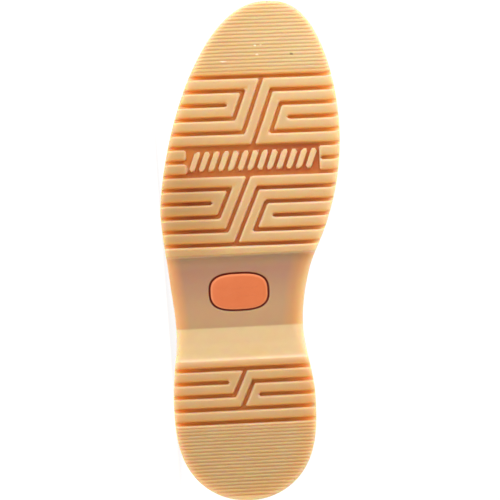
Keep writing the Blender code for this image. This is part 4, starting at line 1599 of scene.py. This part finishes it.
@dataclass
class Upper:
    """Leather upper: shell and lining, overlays, collar binding, stitches and insole."""

    boot: BootFrame
    levels: int = 2
    # Turns in degrees: below the first pair the CAD's triangles are joined, and above the others
    # its edges stay sharp, and its outer skin is told from its inside.
    join_deg: Row = (60, 100)
    sharp_deg: float = 50
    skin_deg: float = 40
    sink: float = 1.3
    fold_tone: float = 0.35
    # The waist and the collar's inner side are drawn in: by how much, where, and how far round.
    waist_sink: float = 2.4
    waist_at: Row = (104, 30)
    waist_reach: Row = (24, 34)
    collar: float = 285.0
    collar_sink: float = 2.0
    collar_y: float = 86
    collar_reach: Row = (32, 60)
    under_slope: float = -0.75
    edge_rounds: int = 4
    stitch_pitch: float = 3.5
    stitch_length: float = 2.7
    stitch_radius: float = 0.42
    stitch_sink: float = 0.05
    stitch_span: float = 1.2
    fewest_stitches: int = 3
    binding_depth: float = 9.0
    binding_thickness: float = 0.9
    binding_row: float = -7.2
    binding_lift: float = 1.0
    cut_edge: float = 0.35
    board_edge: float = 0.5
    creases: tuple[Crease, ...] = (
        Crease(((214, 90), (206, 68), (199, 46)), 5.0, 1.0, 0.9, 1.0),
        Crease(((231, 82), (225, 64), (220, 48)), 4.5, 0.7, 1.0, 0.8),
        Crease(((156, 138), (134, 124), (100, 115)), 6.0, 1.7, 1.0, 0.85),
        Crease(((148, 158), (126, 148), (92, 141)), 6.5, 1.4, 0.8, 1.0),
        Crease(((166, 122), (144, 106), (118, 96)), 5.0, 1.0, 0.9, 0.8),
        Crease(((2, 116), (24, 123), (54, 121)), 6.0, 1.2, 1.0, 0.9),
        Crease(((4, 142), (28, 147), (58, 142)), 6.0, 1.0, 0.8, 1.0),
        Crease(((140, 206), (100, 198), (56, 207)), 12.0, 1.3, 0.9, 1.0),
        Crease(((10, 236), (50, 228), (96, 236)), 13.0, 1.2, 1.0, 0.9),
    )
    # Back edge of the vamp: height and station. Top edge of the heel counter: station and height.
    vamp_rows: tuple[Row, ...] = (
        (15, 93), (33, 94), (60, 101), (85, 113), (105, 125), (125, 134), (150, 141), (175, 146),
    )
    counter_rows: tuple[Row, ...] = ((-10, 99), (12, 96), (34, 84), (58, 62), (80, 40), (96, 16))
    counter_front: float = 120
    back_strip_half: float = 8.5
    back_strip_front: float = 40
    back_strip_low: float = 88
    side_strip_y: float = 71.5
    side_strip_half: float = 5.0
    side_strip_low: float = 52

    def smooth_shell(self) -> BMesh:
        """CAD's shell, with its surface rounded off between the CAD's own points."""
        mesh = self.boot.standing_copy("upper")
        face_turn, shape_turn = (math.radians(turn) for turn in self.join_deg)
        bmesh.ops.join_triangles(
            mesh, faces=mesh.faces, angle_face_threshold=face_turn, angle_shape_threshold=shape_turn
        )
        crease = mesh.edges.layers.float.new("crease_edge")
        for edge in mesh.edges:
            if edge.is_manifold and edge.calc_face_angle() > math.radians(self.sharp_deg):
                edge[crease] = 1.0
        cage = add_object("upper_cage", mesh)
        rounding = cage.modifiers.new("rounding", "SUBSURF")
        rounding.levels = rounding.render_levels = self.levels
        graph = bpy.context.evaluated_depsgraph_get()
        rounded = bpy.data.meshes.new_from_object(cage.evaluated_get(graph))
        found = bmesh.new()
        found.from_mesh(rounded)
        # The cage goes with its mesh.
        bpy.data.meshes.remove(cage.data)
        bpy.data.meshes.remove(rounded)
        return found

    def shape_leather(self, mesh: BMesh) -> list[list[BMFace]]:
        """Sink the outer skin to make room for the overlays, and press the creases in.

        Args:
            mesh: the shell, changed in place.

        Returns:
            Faces of the outer skin, and faces of the inside.
        """
        layer = mesh.verts.layers.float.new("fold")
        outside, inside = patches(mesh, self.skin_deg)[:2]
        mesh.normal_update()
        ways = {}
        for sign, faces in ((1.0, outside), (-1.0, inside)):
            for face in faces:
                for vert in face.verts:
                    ways.setdefault((vert, sign), Vector())
                    ways[vert, sign] += face.normal * face.calc_area() * sign
        points = places_of(mesh)
        moves, folds = np.zeros(len(points)), np.zeros(len(points))
        for crease in self.creases:
            move, fold = crease.shape(points)
            moves += move
            folds = np.maximum(folds, fold)
        long, high = self.collar_reach
        for (vert, sign), way in ways.items():
            along, above = (vert.co.y - self.collar_y) / long, (vert.co.z - self.collar) / high
            dent = self.collar_sink * math.exp(-(along**2) - above**2) * (vert.co.x < 0)
            out = float(moves[vert.index]) - dent - self.sink * (sign > 0)
            vert.co += way.normalized() * out
            vert[layer] = self.fold_tone * float(folds[vert.index])
        self.draw_in_waist(mesh)
        return [outside, inside]

    def draw_in_waist(self, mesh: BMesh) -> None:
        """Make the waist narrower, so that it stays behind the sole's edge in the camera's view."""
        (middle, top), (long, high) = self.waist_at, self.waist_reach
        for vert in mesh.verts:
            along, above = (vert.co.y - middle) / long, max(0, vert.co.z - top) / high
            sink = self.waist_sink * math.exp(-(along**2) - above**2)
            vert.co.x -= math.copysign(sink, vert.co.x)

    def lay_insole(self, finish: Material) -> None:
        """Insole board, drawn in at the waist as the leather round it is.

        Args:
            finish: leather of the board.
        """
        mesh = self.boot.standing_copy("insole")
        self.draw_in_waist(mesh)
        piece = self.boot.add_piece("insole_board", mesh, [finish], "insole_leather", "insole")
        edge = piece.modifiers.new("cut_edge", "BEVEL")
        edge.width, edge.segments, edge.limit_method = self.board_edge * MM, 2, "ANGLE"
        piece.modifiers.new("even_shading", "WEIGHTED_NORMAL").weight = 60

    def panels(self) -> list[Panel]:
        """Overlays of a plain pull-on boot, each with a field that is below 0 inside it."""

        def steep(rows: Sequence[Row], keys: Array) -> tuple[Array, Array]:
            """Values of a table at many keys, and how much longer its line is than its keys."""
            fine = np.linspace(rows[0][0], rows[-1][0], 200)
            values = np.array([curve(rows, key) for key in fine])
            slopes = np.gradient(values, fine)
            return np.interp(keys, fine, values), np.hypot(1.0, np.interp(keys, fine, slopes))

        def vamp(points: Array) -> Array:
            """Behind the vamp's back edge."""
            edge, length = steep(self.vamp_rows, points[:, 2])
            return (edge - points[:, 1]) / length

        def counter(points: Array) -> Array:
            """Above the heel counter's top edge."""
            edge, length = steep(self.counter_rows, points[:, 1])
            return np.maximum((points[:, 2] - edge) / length, points[:, 1] - self.counter_front)

        def backstay(points: Array) -> Array:
            """Beside the strip up the back."""
            beside = np.maximum(
                abs(points[:, 0]) - self.back_strip_half, points[:, 1] - self.back_strip_front
            )
            return np.maximum(beside, self.back_strip_low - points[:, 2])

        def side_seam(points: Array) -> Array:
            """Beside the strips over the side seams."""
            beside = abs(points[:, 1] - self.side_strip_y) - self.side_strip_half
            return np.maximum(beside, self.side_strip_low - points[:, 2])

        return [
            Panel("back_strip", backstay, (-1.9,), 0.8),
            Panel("side_strips", side_seam, (-1.6,), 0.8),
            Panel("heel_counter", counter, (-2.0, -4.6)),
            Panel("vamp", vamp, (-2.0, -4.6)),
        ]

    def sheet(self, mesh: BMesh, outside: Sequence[BMFace]) -> BMesh:
        """Outer skin of the shell on its own, without the margin under the foot.

        Args:
            mesh: the shell.
            outside: its outer faces.

        Returns:
            The skin, with a smooth lower edge.
        """
        mesh.faces.index_update()
        kept = {face.index for face in outside if face.normal.z > self.under_slope}
        found = mesh.copy()
        found.faces.ensure_lookup_table()
        away = [face for face in found.faces if face.index not in kept]
        bmesh.ops.delete(found, geom=away, context="FACES")
        trim_sheet(found)
        lower = [v for v in found.verts if v.is_boundary and v.co.z < self.collar / 2]
        for _ in range(self.edge_rounds):
            bmesh.ops.smooth_vert(
                found, verts=lower, factor=0.5, use_axis_x=True, use_axis_y=True, use_axis_z=True
            )
        return found

    def cut_panel(self, skin: BMesh, panel: Panel) -> BMesh:
        """Part of the outer skin that one overlay covers.

        Args:
            skin: the sheet to cut from, which stays whole.
            panel: the overlay.

        Returns:
            The overlay's own sheet.
        """
        found = skin.copy()
        cut_along(found, panel.reach, 0.0, snap=0.15)
        found.faces.ensure_lookup_table()
        middles = np.array([face.calc_center_median()[:] for face in found.faces])
        away = [face for face, value in zip(found.faces, panel.reach(middles)) if value > 0]
        bmesh.ops.delete(found, geom=away, context="FACES")
        trim_sheet(found)
        return found

    def stitch_lines(self, sheet: BMesh, panel: Panel, level: float) -> list[list[tuple]]:
        """Lines of points and normals on an overlay, one distance in from its edge.

        Args:
            sheet: the overlay's sheet.
            panel: the overlay.
            level: level of its field that the stitches follow.

        Returns:
            Chains of places with the leather's outward directions.
        """
        mesh = sheet.copy()
        verts = set(cut_along(mesh, panel.reach, level, snap=0.12))
        mesh.normal_update()
        left = {e for e in mesh.edges if e.verts[0] in verts and e.verts[1] in verts}
        chains = []
        while left:
            chain = list(left.pop().verts)
            for end in (0, -1):
                while onward := [e for e in chain[end].link_edges if e in left][:1]:
                    left.discard(onward[0])
                    fresh = onward[0].other_vert(chain[end])
                    chain.insert(0 if end == 0 else len(chain), fresh)
            chains.append([(v.co.copy(), v.normal.copy()) for v in chain])
        mesh.free()
        return chains

    def sew(self, places: list[Matrix], chain: Sequence[tuple], lift: float) -> None:
        """Lay stitches along a chain of places.

        Args:
            places: collects the place of every stitch.
            chain: places and outward directions.
            lift: height of the stitches' middles over the chain.
        """
        lengths = [0.0]
        for (a, _), (b, _) in zip(chain, chain[1:]):
            lengths.append(lengths[-1] + (b - a).length)
        count = int(lengths[-1] / self.stitch_pitch)
        if count < self.fewest_stitches:
            return
        spots, outs = (np.array([item[i][:] for item in chain]) for i in (0, 1))

        def at(length: float, rows: Array) -> Vector:
            """Row of a table of places or directions at a length along the chain."""
            return Vector([np.interp(length, lengths, rows[:, k]) for k in range(3)])

        step, half = lengths[-1] / count, self.stitch_span
        radius = self.stitch_radius
        size = Matrix.Diagonal((self.stitch_length / 2, radius, radius, 1))
        for i in range(count):
            middle = (i + 0.5) * step
            out = at(middle, outs).normalized()
            along = (at(middle + half, spots) - at(middle - half, spots)).normalized()
            beside = out.cross(along).normalized()
            turn = turn_to(along, beside, along.cross(beside))
            where = Matrix.Translation(at(middle, spots) + out * lift) @ turn @ size
            places.append(where @ Matrix.Rotation(math.pi / 2, 4, "Y"))

    def thread_mesh(self, places: Sequence[Matrix]) -> BMesh:
        """All stitches in one mesh: one plump stitch, set down at every place.

        Args:
            places: the place of every stitch.

        Returns:
            The mesh.
        """
        pattern = bmesh.new()
        bmesh.ops.create_uvsphere(pattern, u_segments=6, v_segments=6, radius=1.0)
        points = np.c_[places_of(pattern), np.ones(len(pattern.verts))]
        faces = [[vert.index for vert in face.verts] for face in pattern.faces]
        spots = np.concatenate([(points @ np.array(place).T)[:, :3] for place in places])
        count = len(points)
        joined = [[i + count * n for i in face] for n in range(len(places)) for face in faces]
        data = bpy.data.meshes.new("stitch_rows")
        data.from_pydata(spots.tolist(), [], joined)
        found = bmesh.new()
        found.from_mesh(data)
        bpy.data.meshes.remove(data)
        pattern.free()
        return found

    def build(
        self,
        leather: Material,
        lining: Material,
        trim: Material,
        thread: Material,
    ) -> None:
        """Make the shell, its overlays, its binding and all stitches.

        Args:
            leather: finish of the outside.
            lining: finish of the inside.
            trim: finish of the binding.
            thread: finish of the stitches.
        """
        mesh = self.smooth_shell()
        outside, inside = self.shape_leather(mesh)
        skin = self.sheet(mesh, outside)
        stitches: list[Matrix] = []
        for panel in self.panels():
            sheet = self.cut_panel(skin, panel)
            for level in panel.rows:
                for chain in self.stitch_lines(sheet, panel, level):
                    self.sew(stitches, chain, panel.thickness - self.stitch_sink)
            self.finish_sheet(panel, sheet, leather)
        low = self.collar - self.binding_depth
        binding = Panel(
            "collar_binding", lambda p: low - p[:, 2], (self.binding_row,), self.binding_thickness
        )
        for chain in self.stitch_lines(skin, binding, self.binding_row):
            self.sew(stitches, chain, self.binding_lift)
        self.finish_sheet(binding, self.cut_panel(mesh, binding), trim)
        skin.free()
        for face in inside:
            face.material_index = 1
        self.boot.add_piece("leather_upper", mesh, [leather, lining], "oiled_leather", "upper")
        self.boot.add_piece("stitches", self.thread_mesh(stitches), [thread], "oiled_leather")

    def finish_sheet(self, panel: Panel, sheet: BMesh, finish: Material) -> None:
        """Give an overlay's sheet its thickness and a rounded cut edge.

        Args:
            panel: the overlay.
            sheet: its sheet, which is used up.
            finish: its leather.
        """
        piece = self.boot.add_piece(panel.name, sheet, [finish], "oiled_leather")
        body = piece.modifiers.new("leather_thickness", "SOLIDIFY")
        body.thickness, body.offset, body.use_even_offset = panel.thickness * MM, 1.0, False
        edge = piece.modifiers.new("cut_edge", "BEVEL")
        edge.width, edge.segments, edge.limit_method = self.cut_edge * MM, 2, "ANGLE"
        edge.angle_limit = math.radians(self.sharp_deg)


@dataclass
class Studio:
    """Pale floor, soft light and the camera square to the tread."""

    boot: BootFrame
    roll_deg: float = 2.8
    aim: Row = (-7.4, 154.25)
    frame_mm: float = 307.5
    distance: float = 1.8
    sensor_mm: float = 36.0
    floor_half: float = 6.0
    floor_tone: str = "8E8E8E"
    floor_glow: float = 0.9
    white: str = "FFFFFF"
    # Surroundings: y of the directions between which they brighten, and their strengths there.
    sky_band: Row = (-0.3, 0.4)
    sky_levels: Row = (0.2, 1.05)
    # Lights: point of the boot that each is turned to, way from there in metres, side and watts. The
    # first one's way is to the inner side, the toe and down from the tread, the other's is up.
    key_aim: tuple[float, float, float] = (-5, 180, 0)
    key_way: tuple[float, float, float] = (0.4, 0.58, 0.56)
    key_size: float = 0.3
    key_power: float = 5.1
    top_aim: tuple[float, float, float] = (-5, 150, 100)
    top_height: float = 1.4
    top_size: float = 1.2
    top_power: float = 9.0

    def floor(self) -> None:
        """Pale floor that gives off some light of its own, as a light table does."""
        mesh = bmesh.new()
        bmesh.ops.create_grid(mesh, x_segments=1, y_segments=1, size=self.floor_half)
        floor = add_object("floor", mesh)
        pale, tree, shader = new_material("pale_floor")
        set_sockets(tree, shader, {
            "Base Color": linear(self.floor_tone), "Roughness": 0.9, "Specular IOR Level": 0.0,
            "Emission Color": linear(self.white), "Emission Strength": self.floor_glow,
        })
        floor.data.materials.append(pale)

    def sky(self) -> None:
        """White surroundings, brighter behind the boot than in front of its tread."""
        world = bpy.data.worlds.new("white_room")
        world.use_nodes = True
        bpy.context.scene.world = world
        tree, (start, end), (least, most) = world.node_tree, self.sky_band, self.sky_levels
        way = add_node(tree, "ShaderNodeTexCoord").outputs["Generated"]
        along = add_node(tree, "ShaderNodeSeparateXYZ", {0: way}).outputs["Y"]
        level = add_node(
            tree, "ShaderNodeMapRange",
            {"Value": along, "From Min": start, "From Max": end, "To Min": least, "To Max": most},
        ).outputs["Result"]
        set_sockets(tree, tree.nodes["Background"], {"Strength": level, "Color": linear(self.white)})

    def lamp(self, name: str, place: Vector, target: Vector, size: float, power: float) -> None:
        """Square soft light at a place, turned to a target.

        Args:
            name: the light's name.
            place: where it hangs, in metres.
            target: what it lights.
            size: its side, in metres.
            power: its power, in watts.
        """
        data = bpy.data.lights.new(name, "AREA")
        data.size, data.energy = size, power
        lamp = add_object(name, data)
        lamp.location = place
        lamp.rotation_euler = (target - place).to_track_quat("-Z", "Y").to_euler()

    def camera(self) -> None:
        """Camera square to the tread, rolled so that the toe is up as in the photograph."""
        roll = math.radians(self.roll_deg)
        toe, inner, up = self.boot.way(0, 1, 0), self.boot.way(-1, 0, 0), self.boot.way(0, 0, 1)
        high = toe * math.cos(roll) + inner * math.sin(roll)
        right = inner * math.cos(roll) - toe * math.sin(roll)
        data = bpy.data.cameras.new("camera")
        data.sensor_width = self.sensor_mm
        data.lens = self.sensor_mm * self.distance / (self.frame_mm * MM)
        camera = add_object("camera", data)
        place = self.boot.point(*self.aim, 0.0) - up * self.distance
        camera.matrix_world = Matrix.Translation(place) @ turn_to(right, high, -up)
        bpy.context.scene.camera = camera

    def build(self) -> None:
        """Set up floor, surroundings, lights and camera."""
        self.floor()
        self.sky()
        middle, over = self.boot.point(*self.key_aim), self.boot.point(*self.top_aim)
        inner, toe, down = self.boot.way(-1, 0, 0), self.boot.way(0, 1, 0), self.boot.way(0, 0, -1)
        key = middle + toe * self.key_way[1] + down * self.key_way[2] + inner * self.key_way[0]
        top = over + Vector((0.0, 0.0, self.top_height))
        self.lamp("key_from_the_toe", key, middle, self.key_size, self.key_power)
        self.lamp("soft_overhead", top, over, self.top_size, self.top_power)
        self.camera()
        bpy.context.scene.view_settings.view_transform = "Standard"


def main() -> None:
    """Build the studio, then the boot in it piece by piece."""
    logging.basicConfig(level=logging.INFO, format="%(message)s")
    boot = BootFrame.from_record(frame["record"])
    plan = SolePlan()
    tread = Tread(plan)
    Studio(boot).build()
    plug = ArchPlug(boot, plan)
    plug.build(PlugRubber().material())
    Outsole(boot, plan, tread, SoleTones(plan, tread)).build(plug, GumRubber().material())
    leather = Leather("oiled_cattle_leather", "7A5236", "4A2E1C", "9A7350").material()
    trim = Leather("rolled_binding_leather", "5B3B25", "38230F", "7A5A3A", grain_mm=0.9).material()
    lining = Leather(
        "pigskin_lining", "C2A075", "A98558", "CDB088", roughness=(0.6, 0.8), coat=0.0
    ).material()
    upper = Upper(boot)
    upper.build(leather, lining, trim, WaxedThread().material())
    board = Leather(
        "natural_insole_leather", "C9A77C", "B08C60", "D8BC94", roughness=(0.65, 0.8), coat=0.0
    ).material()
    upper.lay_insole(board)


if __name__ == "__main__":
    main()
